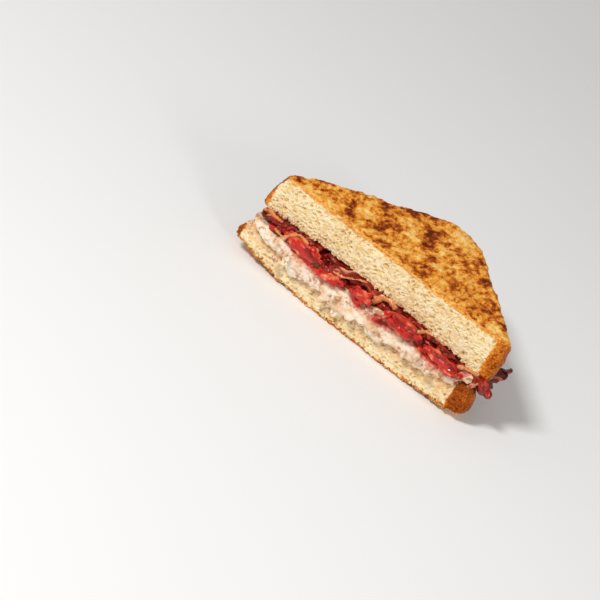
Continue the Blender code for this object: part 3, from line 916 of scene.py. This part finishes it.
    def scorching(self, place: np.ndarray) -> np.ndarray:
        """How brown the fried face is at each place, from about -1 to 1."""
        wander = np.stack([waves(place[:, :2], 6 * MM, 11), waves(place[:, :2], 6 * MM, 12)], axis=1)
        spot = place[:, :2] + wander * 1.1 * MM
        if self.fried is Fried.UNDER:
            spot = spot * np.array([-1.0, 1.0])
        heat = np.zeros(len(place))
        for mark in SCORCHES:
            reach = (spot - np.array([mark.x, mark.y]) * MM) / (np.array([mark.half_x, mark.half_y]) * MM)
            heat += mark.heat * np.exp(-np.sum(reach * reach, axis=1))
        return np.clip(heat, -1, 1)

    def build(self, material: bpy.types.Material) -> bpy.types.Object:
        """Builds the slice.

        Args:
            material: The bread's finish.

        Returns:
            The slice.
        """
        piece = new_piece(self.name, solid_of(self.node))
        fuse(piece, self.voxel, self.smoothing)
        self.refine_cut(piece)
        self.mark(piece.data)
        self.sag(piece.data)
        sizes = {
            "Pore": self.pore_depth,
            "Hole": self.hole_depth,
            "Ragged": self.ragged,
            "Tuft": self.tuft,
            "Toast": self.toast_relief,
            "Crust": self.crust_relief,
            "Swell": self.swell,
            "Seed": self.seed,
        }
        self.surface(material).run(piece, **sizes)
        return piece


# The cheese


@dataclass
class CurdLayer:
    """The layer of soft curd cheese that runs over the edges in lumps."""

    node: str = "cheese"
    voxel: float = 0.55 * MM
    lumps: int = 190
    lump_low: float = 1.1 * MM
    lump_high: float = 2.5 * MM
    lump_end: float = 54 * MM
    lump_shift: float = 1.3 * MM
    lump_sunk: float = 0.35
    curd: float = 4.4 * MM
    curd_rise: float = 1.6 * MM
    grain: float = 1.8 * MM
    grain_rise: float = 1.0 * MM
    tip_from: float = 57 * MM
    tip_to: float = 66 * MM
    tip_middle: float = 20.5 * MM
    tip_up: float = 1.2 * MM
    tip_thinned: float = 0.55
    tip_back: float = 1.0 * MM
    short_from: float = 61 * MM
    shortened: float = 0.6
    stain_reach: float = 4 * MM

    def draw_in_tip(self, shape: bmesh.types.BMesh) -> None:
        """Makes the layer thin and short at the right tip, where the brown crust shows."""
        for vert in shape.verts:
            tip = eased(np.array([vert.co.x - CUT_MIDDLE_X]), self.tip_from, self.tip_to)[0]
            middle = self.tip_middle + self.tip_up * tip
            vert.co.z += (middle - vert.co.z) * self.tip_thinned * tip
            vert.co.y += max(0.0, CUT_Y + self.tip_back - vert.co.y) * tip
            vert.co.x -= max(0.0, vert.co.x - CUT_MIDDLE_X - self.short_from) * self.shortened

    def add_lumps(self, shape: bmesh.types.BMesh) -> None:
        """Sets loose curds into the cheese's outer edge."""
        draw = np.random.default_rng(5)
        spots = edge_spots(shape, 0.75, self.lump_end)
        for index in draw.integers(0, len(spots), self.lumps):
            spot, way = spots[index]
            radius = draw.uniform(self.lump_low, self.lump_high)
            shift = Vector(draw.normal(scale=self.lump_shift, size=3))
            centre = spot + shift - way * radius * self.lump_sunk
            add_ball(shape, centre, radius * draw.uniform(0.75, 1.2, size=3), draw.uniform(0, math.pi))

    def surface(self, material: bpy.types.Material) -> Recipe:
        """The recipe that breaks the skin into curds."""
        made = Recipe("curds", ("Curd", "Grain"))
        cell = made.cells(made.place, self.curd, 1.0, "SMOOTH_F1")
        cell.inputs["Smoothness"].default_value = 0.35
        fine = made.cells(made.place, self.grain, 2.0, "SMOOTH_F1")
        fine.inputs["Smoothness"].default_value = 0.3
        bulge = made.times(made.math("SUBTRACT", 0.45, cell.outputs["Distance"]), made.size("Curd"))
        small = made.times(made.math("SUBTRACT", 0.4, fine.outputs["Distance"]), made.size("Grain"))
        cloud = made.swing(made.place, 7 * MM, 3.0, 2.0)
        rise = made.math("ADD", made.math("ADD", bulge, small), made.times(cloud, 1.2 * MM))
        rise = made.times(rise, made.kept("body"))
        # pit: the hollows between the curds, which the finish paints tan as shade.
        wide = made.eased(cell.outputs["Distance"], 0.4, 0.85)
        narrow = made.eased(fine.outputs["Distance"], 0.45, 0.85)
        pit = made.added(wide, 0.6, made.times(narrow, 0.5))
        mesh = made.store(made.start.outputs[0], "pit", pit)
        mesh = made.push(mesh, made.scaled(made.facing, rise))
        made.finish(mesh, material)
        return made

    def build(self, material: bpy.types.Material) -> bpy.types.Object:
        """Builds the cheese."""
        shape = solid_of(self.node)
        self.draw_in_tip(shape)
        self.add_lumps(shape)
        piece = new_piece("curd_cheese", shape)
        fuse(piece, self.voxel, 3)
        points = points_of(piece.data)
        place = from_cut(points)
        height = place[:, 2] - tip_lift(place[:, 0]) - 14 * MM + waves(place, 9 * MM, 8) * 1.2 * MM
        keep(piece.data, "body", eased(np.abs(place[:, 0]), 68 * MM, 54 * MM) * 0.8 + 0.2)
        seen = seen_at(points)
        near = np.zeros(len(points))
        for trail in SMEARS:
            for spot in trail.spots(2 * MM):
                gap = np.sum((seen - spot[:2]) ** 2, axis=1) / self.stain_reach**2
                near = np.maximum(near, np.exp(-gap))
        keep(piece.data, "stain", np.maximum(0.75 * eased(height, 3.0 * MM, 7.5 * MM), near))
        self.surface(material).run(piece, **{"Curd": self.curd_rise, "Grain": self.grain_rise})
        return piece


# Jam and fruit


def wet_skin(name: str, size: float, seed: float, material: bpy.types.Material) -> Recipe:
    """A recipe that ripples a wet piece, and stores how far each place stands out.

    Args:
        name: The recipe's name.
        size: The ripples' length in metres.
        seed: Which ripples.
        material: The piece's finish.

    Returns:
        The recipe, whose size Rise is the ripples' height.
    """
    made = Recipe(name, ("Rise",))
    broad = made.swing(made.place, size, seed, 1.0)
    small = made.swing(made.place, 0.45 * size, seed + 5, 1.0)
    height = made.added(small, 0.22, broad)
    # crest: how far each place stands out, which the finishes turn into painted highlight on crests and
    # painted shade in hollows.
    mesh = made.store(made.start.outputs[0], "crest", made.added(height, 1.6, 0.5))
    mesh = made.push(mesh, made.scaled(made.facing, made.times(height, made.size("Rise"))))
    made.finish(mesh, material)
    return made


@dataclass
class JamLayer:
    """The jam between the cheese and the bacon, with lumps that bulge out at the edge."""

    node: str = "jam"
    voxel: float = 0.5 * MM
    lumps: int = 260
    lump_low: float = 1.0 * MM
    lump_high: float = 2.0 * MM
    lump_end: float = 57 * MM
    lump_shift: float = 1.2 * MM
    lump_sunk: float = 0.2
    ripple: float = 4.2 * MM
    ripple_rise: float = 1.4 * MM

    def build(self, material: bpy.types.Material) -> bpy.types.Object:
        """Builds the jam."""
        draw = np.random.default_rng(9)
        shape = solid_of(self.node)
        spots = edge_spots(shape, 0.8, self.lump_end)
        for index in draw.integers(0, len(spots), self.lumps):
            spot, way = spots[index]
            radius = draw.uniform(self.lump_low, self.lump_high)
            shift = Vector(draw.normal(scale=self.lump_shift, size=3))
            radii = radius * draw.uniform(0.8, 1.6, size=3) * np.array([1.0, 1.0, 0.7])
            add_ball(shape, spot + shift - way * radius * self.lump_sunk, radii, draw.uniform(0, math.pi))
        piece = new_piece("red_jam", shape)
        fuse(piece, self.voxel, 4)
        wet_skin("jam_ripples", self.ripple, 7.0, material).run(piece, Rise=self.ripple_rise)
        return piece


class Trail(NamedTuple):
    """Something that lies over the front, in mm: its points as the camera sees them against the cut's
    plane, (x, z), its half width at the start and at the end, and its half thickness."""

    points: tuple[tuple[float, float], ...]
    start: float
    end: float
    thick: float

    def spots(self, step: float) -> list[tuple[float, float, float]]:
        """Evenly spaced (x, z, half width) along it, in metres."""
        row = np.array(self.points) * MM
        lengths = np.concatenate([[0.0], np.cumsum(np.linalg.norm(np.diff(row, axis=0), axis=1))])
        count = max(2, round(lengths[-1] / step))
        marks = np.linspace(0, lengths[-1], count)
        widths = np.interp(marks, lengths[[0, -1]], (self.start * MM, self.end * MM))
        across = np.interp(marks, lengths, row[:, 0])
        up = np.interp(marks, lengths, row[:, 1])
        return list(zip(across, up, widths))


SMEARS = (
    Trail(
        ((-43, 22.2), (-36.4, 20.2), (-29.4, 18.9), (-22.7, 18), (-16, 19.1), (-10.5, 21.6)), 1.0, 1.8, 0.7
    ),
    Trail(((-3.5, 22.8), (-2.5, 19.4), (1.6, 17.9)), 1.7, 1.0, 0.8),
    Trail(((-1.3, 22.8), (4.9, 22.7)), 1.6, 1.2, 0.7),
    Trail(((16.7, 24.9), (13.2, 20.9), (10.9, 17.1)), 1.5, 0.8, 0.7),
    Trail(((13.3, 17.6), (17.6, 18.6)), 0.9, 1.3, 0.6),
    Trail(((18.9, 21.8), (25.8, 20.5), (30.9, 22), (35.3, 24.6)), 1.8, 1.5, 0.8),
    Trail(((34.8, 21.5), (40, 19.3), (46.5, 18.5), (54.3, 19.4), (60.9, 22)), 1.5, 1.3, 0.8),
)
DRIPS = (
    Trail(((66, 27.6), (69, 27.4), (72.6, 26.5), (75.2, 24.6), (76.4, 22.8)), 1.2, 2.0, 1.8),
    Trail(((69.3, 26.8), (71.2, 24.4), (73.2, 22.2)), 1.8, 1.9, 1.5),
    Trail(((-34, 24.5), (-29, 22.6), (-24, 23.4), (-20, 21.8)), 1.0, 1.3, 0.9),
    Trail(((-12, 23.8), (-7.5, 22.0), (-4, 24.4)), 1.3, 0.9, 0.9),
    Trail(((20, 25.4), (26, 24.2), (31, 26.4)), 0.8, 1.2, 0.9),
    Trail(((44, 22.6), (50, 23.6), (56, 22.4)), 0.9, 1.1, 0.9),
)
CURDS = (
    Trail(((60.8, 22.8), (63.6, 23.6), (65.6, 23.9)), 1.7, 1.7, 1.2),
    Trail(((6.4, 19.4), (10, 21.2), (13.2, 22.8)), 1.6, 1.2, 1.2),
)
RINDS = (
    Trail(((-61.8, 27.8), (-57.4, 28.3), (-51.7, 27.8)), 1.4, 0.9, 1.0),
    Trail(((-52.1, 22.6), (-47.2, 20.8), (-44.8, 24.9), (-41, 28), (-35.8, 26.9)), 0.7, 1.1, 0.9),
    Trail(((-17.5, 23.7), (-12.4, 24.5), (-6.8, 27.7), (-0.6, 30.7)), 0.45, 0.5, 0.6),
    Trail(((7, 24.4), (9.4, 29.2), (13.6, 30.3), (17.2, 28.8)), 1.6, 1.2, 1.2),
    Trail(((32.3, 26.2), (36.5, 29.3), (41.2, 30.4), (47.1, 29.6)), 1.2, 0.6, 0.9),
    Trail(((58.3, 25.7), (62.5, 26.7), (67.3, 27.5)), 0.9, 1.3, 1.0),
)


@dataclass
class Overlay:
    """Thin things that lie on whatever the camera sees first at their places."""

    name: str
    trails: tuple[Trail, ...]
    seed: int
    deepest: float = 7 * MM
    step: float = 0.6 * MM
    voxel: float = 0.34 * MM
    uneven: float = 0.35
    uneven_length: float = 5 * MM
    jitter: float = 0.2 * MM
    look_round: int = 4
    even_out: int = 2
    ripple: float = 2.6 * MM
    rise: float = 1.0 * MM

    def spots(self, trees: list[BVHTree], row: np.ndarray) -> list[Vector]:
        """Where the camera's lines of sight first meet the pieces, with an even depth along the row.

        Args:
            trees: The pieces.
            row: The places in the picture, as (x, z) on the cut's plane.

        Returns:
            The places on the pieces.
        """
        eye = Vector(EYE)
        aims = [Vector((x + CUT_MIDDLE_X, CUT_Y, z)) for x, z in row]
        ways = [(aim - eye).normalized() for aim in aims]
        past = []
        for aim, way in zip(aims, ways):
            hits = [tree.ray_cast(eye, way)[3] for tree in trees]
            near = min([hit for hit in hits if hit is not None], default=math.inf) - (aim - eye).length
            past.append(min(near, self.deepest / way.y))
        padded = np.pad(past, self.look_round, mode="edge")
        window = 2 * self.look_round + 1
        nearest = [np.percentile(padded[index : index + window], 25) for index in range(len(past))]
        even = 2 * self.even_out + 1
        smooth = np.convolve(np.pad(nearest, self.even_out, mode="edge"), np.ones(even) / even, mode="valid")
        return [aim + way * depth for aim, way, depth in zip(aims, ways, smooth)]

    def build(self, under: Sequence[bpy.types.Object], material: bpy.types.Material) -> bpy.types.Object:
        """Builds all the trails as one piece.

        Args:
            under: The pieces that they lie on.
            material: Their finish.

        Returns:
            The piece.
        """
        graph = bpy.context.evaluated_depsgraph_get()
        trees = [BVHTree.FromObject(piece, graph) for piece in under]
        draw = np.random.default_rng(self.seed)
        shape = bmesh.new()
        for trail in self.trails:
            spots = np.array(trail.spots(self.step))
            swell = waves(spots[:, :2], self.uneven_length, self.seed).clip(-1, 1)
            widths = spots[:, 2] * (1 + self.uneven * swell)
            shifts = draw.normal(scale=self.jitter, size=(len(spots), 2))
            for spot, half in zip(self.spots(trees, spots[:, :2] + shifts), widths):
                add_ball(shape, spot, (half, trail.thick * MM, half))
        piece = new_piece(self.name, shape)
        fuse(piece, self.voxel, 3)
        points = points_of(piece.data)
        keep(piece.data, "stain", 0.3 + waves(points, 6 * MM, self.seed + 1))
        keep(piece.data, "pit", 0.6 + waves(points, 3 * MM, self.seed + 2))
        wet_skin(f"{self.name}_skin", self.ripple, self.seed, material).run(piece, Rise=self.rise)
        return piece


@dataclass
class FruitPiece:
    """One piece of soft fruit at the rim."""

    number: int
    voxel: float = 0.36 * MM
    lumps: int = 12
    lump_low: float = 0.9 * MM
    lump_high: float = 1.7 * MM
    lump_shift: float = 0.5 * MM
    ripple: float = 4.2 * MM
    ripple_rise: float = 1.5 * MM

    def build(self, material: bpy.types.Material) -> bpy.types.Object:
        """Builds the piece of fruit."""
        draw = np.random.default_rng(100 + self.number)
        shape = solid_of(f"fruit_{self.number}")
        spots = [vert.co.copy() for vert in shape.verts]
        for index in draw.integers(0, len(spots), self.lumps):
            radius = draw.uniform(self.lump_low, self.lump_high)
            shift = Vector(draw.normal(scale=self.lump_shift, size=3))
            add_ball(shape, spots[index] + shift, [radius] * 3)
        piece = new_piece(f"fruit_piece_{self.number}", shape)
        fuse(piece, self.voxel, 3)
        skin = wet_skin(f"fruit_skin_{self.number}", self.ripple, self.number * 1.7, material)
        skin.run(piece, Rise=self.ripple_rise)
        return piece


# The bacon


@dataclass
class BaconStrip:
    """One strip of bacon, crinkled where it comes out from between the slices."""

    number: int
    voxel: float = 0.42 * MM
    crinkle: float = 1.2 * MM
    crinkle_length: float = 8 * MM
    ragged: float = 0.9 * MM
    droop: float = 1.2 * MM
    swell: float = 1.1 * MM
    wrinkle: float = 1.5 * MM
    # How much darker the whole strip is painted, as shade where it lies in shadow.
    shade_darkening: float = 0.0

    def shape_strip(self, mesh: bpy.types.Mesh) -> None:
        """Waves the strip's free ends, makes its edges uneven, and stores its own directions."""
        points = points_of(mesh)
        place = from_cut(points)
        flat = place[:, :2]
        along = flat @ ALONG_LEFT_LEG
        across = flat @ ALONG_RIGHT_LEG
        seed = 40 + self.number
        free = eased(place[:, 1], 9 * MM, 2 * MM)
        turn = along / self.crinkle_length * math.tau + 1.6 * waves(flat, 13 * MM, seed)
        side = across / (1.3 * self.crinkle_length) * math.tau + 2.0 * waves(flat, 11 * MM, seed + 1)
        lift = self.crinkle * (0.55 * np.sin(turn) + 0.45 * np.sin(side))
        lift += 0.35 * self.crinkle * waves(flat, 4.5 * MM, seed + 4)
        droop = self.droop * eased(-place[:, 1], -0.5 * MM, 4 * MM)
        points[:, 2] += free * lift - droop
        points[:, 0] += self.ragged * waves(flat, 7 * MM, seed + 2)
        points[:, 1] += 0.6 * self.ragged * waves(flat, 6 * MM, seed + 3) * (1 - 0.5 * free)
        move_points(mesh, points)
        middle = (across.min() + across.max()) / 2
        half = (across.max() - across.min()) / 2
        rind_side = -1 if self.number % 2 else 1
        keep(mesh, "along", along + self.number * 0.2)
        keep(mesh, "across", across + self.number * 0.1)
        keep(mesh, "rind", eased(rind_side * (across - middle) / half, 0.72, 0.95))
        # Stores the strip's painted shade darkening.
        keep(mesh, "shade_darkening", np.full(len(points), self.shade_darkening))

    def surface(self, material: bpy.types.Material) -> Recipe:
        """The recipe that makes the strip thick and thin."""
        made = Recipe(f"bacon_skin_{self.number}", ("Swell", "Wrinkle"))
        cloud = made.swing(made.place, 5 * MM, self.number * 2.3, 3.0)
        along = made.times(made.kept("along"), 0.4)
        lie = made.add("ShaderNodeCombineXYZ", {0: along, 1: made.kept("across")}).outputs[0]
        folds = made.swing(lie, 1.9 * MM, self.number * 1.1, 2.0)
        rise = made.times(cloud, made.size("Swell"))
        rise = made.added(folds, made.size("Wrinkle"), rise)
        # crest: how far each place stands out, which the finish paints lighter as highlight and darker in
        # folds as shade.
        crest = made.added(made.math("ADD", folds, made.times(cloud, 0.6)), 1.6, 0.5)
        mesh = made.store(made.start.outputs[0], "crest", crest)
        made.finish(made.push(mesh, made.scaled(made.facing, rise)), material)
        return made

    def build(self, material: bpy.types.Material) -> bpy.types.Object:
        """Builds the strip."""
        piece = new_piece(f"bacon_strip_{self.number}", solid_of(f"bacon_{self.number}"))
        fuse(piece, self.voxel, 5)
        self.shape_strip(piece.data)
        self.surface(material).run(piece, Swell=self.swell, Wrinkle=self.wrinkle)
        return piece


# Crumbs and specks


@dataclass
class Scatter:
    """Many small grains set on a piece by a rule."""

    name: str
    per_square_metre: float
    low: float
    high: float
    seed: int

    def build(self, under: bpy.types.Object, share: str, material: bpy.types.Material) -> bpy.types.Object:
        """Scatters the grains.

        Args:
            under: The piece that they lie on.
            share: The number stored on it that says how thickly they lie.
            material: Their finish.

        Returns:
            All the grains, as one piece.
        """
        made = Recipe(self.name, ("Density", "Smallest", "Largest"))
        spread = made.add(
            "GeometryNodeDistributePointsOnFaces",
            {
                "Mesh": made.start.outputs[0],
                "Density": made.times(made.size("Density"), made.kept(share)),
                "Seed": self.seed,
            },
        )
        grain = made.add("GeometryNodeMeshIcoSphere", {"Radius": 1.0, "Subdivisions": 1}).outputs[0]
        draw = made.add("FunctionNodeRandomValue", {"Seed": self.seed}, data_type="FLOAT")
        made.feed(draw.inputs[2], made.size("Smallest"))
        made.feed(draw.inputs[3], made.size("Largest"))
        stretch = made.add("FunctionNodeRandomValue", {"Seed": self.seed + 1}, data_type="FLOAT_VECTOR")
        stretch.inputs[0].default_value = (0.6, 0.6, 0.5)
        stretch.inputs[1].default_value = (1.3, 1.3, 1.0)
        size = made.scaled(stretch.outputs[0], draw.outputs[1])
        placed = made.add(
            "GeometryNodeInstanceOnPoints",
            {"Points": spread.outputs[0], "Instance": grain, "Rotation": spread.outputs[2], "Scale": size},
        )
        made.finish(placed.outputs[0], material)
        piece = bpy.data.objects.new(self.name, under.data.copy())
        bpy.context.scene.collection.objects.link(piece)
        made.run(piece, Density=self.per_square_metre, Smallest=self.low, Largest=self.high)
        return piece


JAM = SyrupFinish("red_jam", srgb(200, 62, 36), srgb(144, 14, 7), srgb(84, 5, 3))
FRUIT = SyrupFinish("red_fruit", srgb(242, 128, 88), srgb(196, 26, 8), srgb(128, 8, 3))
RIND = SyrupFinish("fried_rind", srgb(244, 202, 156), srgb(220, 140, 84), srgb(176, 78, 42), (1.0, 0.5, 0.3))
DARK_SPECK = PlainFinish("dark_speck", srgb(60, 34, 22), srgb(110, 60, 34), 1 * MM, 0.6)
PALE_CRUMB = PlainFinish("pale_crumb", srgb(252, 238, 206), srgb(226, 186, 124), 1 * MM, 0.9)
GOLDEN_CRUMB = PlainFinish("golden_crumb", srgb(236, 190, 116), srgb(170, 96, 40), 1 * MM, 0.8)
FLOOR = PlainFinish("pale_floor", srgb(243, 246, 250), srgb(241, 244, 248), 0.5, 0.9)

SPECKS = Scatter("pepper_specks", 60000, 0.10 * MM, 0.26 * MM, 3)
CURD_CRUMBS = Scatter("curd_crumbs", 1500000, 0.25 * MM, 0.75 * MM, 4)
TUFTS = Scatter("crumb_tufts", 3000000, 0.2 * MM, 0.5 * MM, 5)
TOAST_CRUMBS = Scatter("toast_crumbs", 900000, 0.2 * MM, 0.55 * MM, 7)


# The studio


class Lamp(NamedTuple):
    """A square soft light: its place and side in metres, its power in watts, and its colour."""

    name: str
    place: tuple[float, float, float]
    side: float
    power: float
    colour: Colour


LAMPS = (
    Lamp("key", (-0.45, -0.75, 1.0), 0.25, 11, (1.0, 0.97, 0.93)),
    Lamp("fill", (0.9, -0.6, 0.5), 0.25, 2.5, (1.0, 0.98, 0.96)),
)


@dataclass
class Studio:
    """A plain pale floor, soft lights and the camera."""

    lens: float = 144.0
    sensor: float = 36.0
    azimuth: float = math.radians(17.849)
    elevation: float = math.radians(29.992)
    roll: float = math.radians(29.331)
    floor_size: float = 6.0
    surroundings: Colour = (1.0, 0.95, 0.88)
    strength: float = 0.38

    def add_floor(self) -> None:
        """Lays the floor."""
        shape = bmesh.new()
        bmesh.ops.create_grid(shape, x_segments=1, y_segments=1, size=self.floor_size / 2)
        floor = new_piece("floor", shape)
        floor.data.materials.append(FLOOR.make())

    def add_camera(self) -> None:
        """Sets up the camera, which is rolled so that the sandwich leans in the picture."""
        data = bpy.data.cameras.new("camera")
        data.lens = self.lens
        data.sensor_width = self.sensor
        data.clip_start = 0.01
        low = math.cos(self.elevation)
        back = Vector((math.sin(self.azimuth) * low, -math.cos(self.azimuth) * low, math.sin(self.elevation)))
        level = Vector((math.cos(self.azimuth), math.sin(self.azimuth), 0.0))
        right = level * math.cos(self.roll) + back.cross(level) * math.sin(self.roll)
        turn = Matrix((right, back.cross(right), back)).transposed()
        camera = bpy.data.objects.new("camera", data)
        camera.matrix_world = Matrix.Translation(Vector(EYE)) @ turn.to_4x4()
        bpy.context.scene.collection.objects.link(camera)
        bpy.context.scene.camera = camera

    def add_light(self, lamp: Lamp) -> None:
        """Adds a lamp that faces the sandwich."""
        data = bpy.data.lights.new(lamp.name, "AREA")
        data.size = lamp.side
        data.energy = lamp.power
        data.color = lamp.colour
        light = bpy.data.objects.new(lamp.name, data)
        spot = Vector(lamp.place)
        light.location = spot
        light.rotation_euler = (Vector((0, 0, 0.02)) - spot).to_track_quat("-Z", "Y").to_euler()
        bpy.context.scene.collection.objects.link(light)

    def add_world(self) -> None:
        """Fills the surroundings with even warm light."""
        world = bpy.data.worlds.new("studio")
        world.use_nodes = True
        back = world.node_tree.nodes["Background"]
        back.inputs["Color"].default_value = (*self.surroundings, 1.0)
        back.inputs["Strength"].default_value = self.strength
        bpy.context.scene.world = world

    def build(self) -> None:
        """Sets up everything round the sandwich."""
        self.add_floor()
        self.add_camera()
        self.add_world()
        for lamp in LAMPS:
            self.add_light(lamp)
        bpy.context.scene.view_settings.view_transform = "Standard"


def settle_piece(piece: bpy.types.Object, slot: str, *nodes: str) -> None:
    """Makes a finished piece part of the sandwich.

    Args:
        piece: The piece.
        slot: The record's material slot; not used.
        *nodes: The solids that it stands for.
    """
    points = points_of(piece.data)
    points[:, 2] = np.maximum(points[:, 2], 0.0)
    move_points(piece.data, points)
    piece.data.shade_smooth()
    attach(piece, "root")
    if nodes:
        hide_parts(*nodes)
    log.info("%s: %d faces", piece.name, len(piece.data.polygons))


def main() -> None:
    """Builds every piece in order, then the studio."""
    logging.basicConfig(level=logging.INFO, format="%(name)s: %(message)s")
    bread = BreadFinish().make()
    curd = CurdFinish().make()
    jam = JAM.make()
    fruit = FRUIT.make()
    rind = RIND.make()
    fried = BaconFinish().make()

    pale_rim = {"right_end": 8.5 * MM, "soak_and_shade_reach": 2.2 * MM, "end_dark": 0.34, "rim_dark": -0.26}
    upper = BreadSlice("bread_top", "upper_slice", Fried.UPPER, 1.3, **pale_rim).build(bread)
    lower = BreadSlice("bread_bottom", "lower_slice", Fried.UNDER, 4.1).build(bread)
    settle_piece(upper, "bread", "bread_top")
    settle_piece(lower, "bread", "bread_bottom")
    cheese = CurdLayer().build(curd)
    settle_piece(cheese, "cheese", "cheese")
    layer = JamLayer().build(jam)
    settle_piece(layer, "jam", "jam")
    fruits = [FruitPiece(number).build(fruit) for number in range(1, 10)]
    for number, piece in enumerate(fruits, start=1):
        settle_piece(piece, "fruit", f"fruit_{number}")
    strips = [BaconStrip(number).build(fried) for number in range(1, 4)]
    # The fourth strip is painted darker, as shade where it lies in shadow.
    strips.append(BaconStrip(4, droop=0.0, shade_darkening=0.15).build(fried))
    for number, piece in enumerate(strips, start=1):
        settle_piece(piece, "bacon", f"bacon_{number}")
    pile = [cheese, layer, *fruits, *strips]
    settle_piece(Overlay("jam_smears", SMEARS, 21).build(pile, fruit), "jam")
    settle_piece(Overlay("jam_drips", DRIPS, 24).build(pile, jam), "jam")
    settle_piece(Overlay("bacon_rinds", RINDS, 22, rise=0.6 * MM).build(pile, rind), "bacon")
    settle_piece(Overlay("curd_bits", CURDS, 23).build(pile, curd), "cheese")
    settle_piece(SPECKS.build(cheese, "stain", DARK_SPECK.make()), "cheese")
    settle_piece(CURD_CRUMBS.build(lower, "fringe", curd), "cheese")
    settle_piece(TUFTS.build(upper, "fringe", PALE_CRUMB.make()), "bread")
    settle_piece(TOAST_CRUMBS.build(lower, "rim", GOLDEN_CRUMB.make()), "bread")

    Studio().build()


if __name__ == "__main__":
    main()
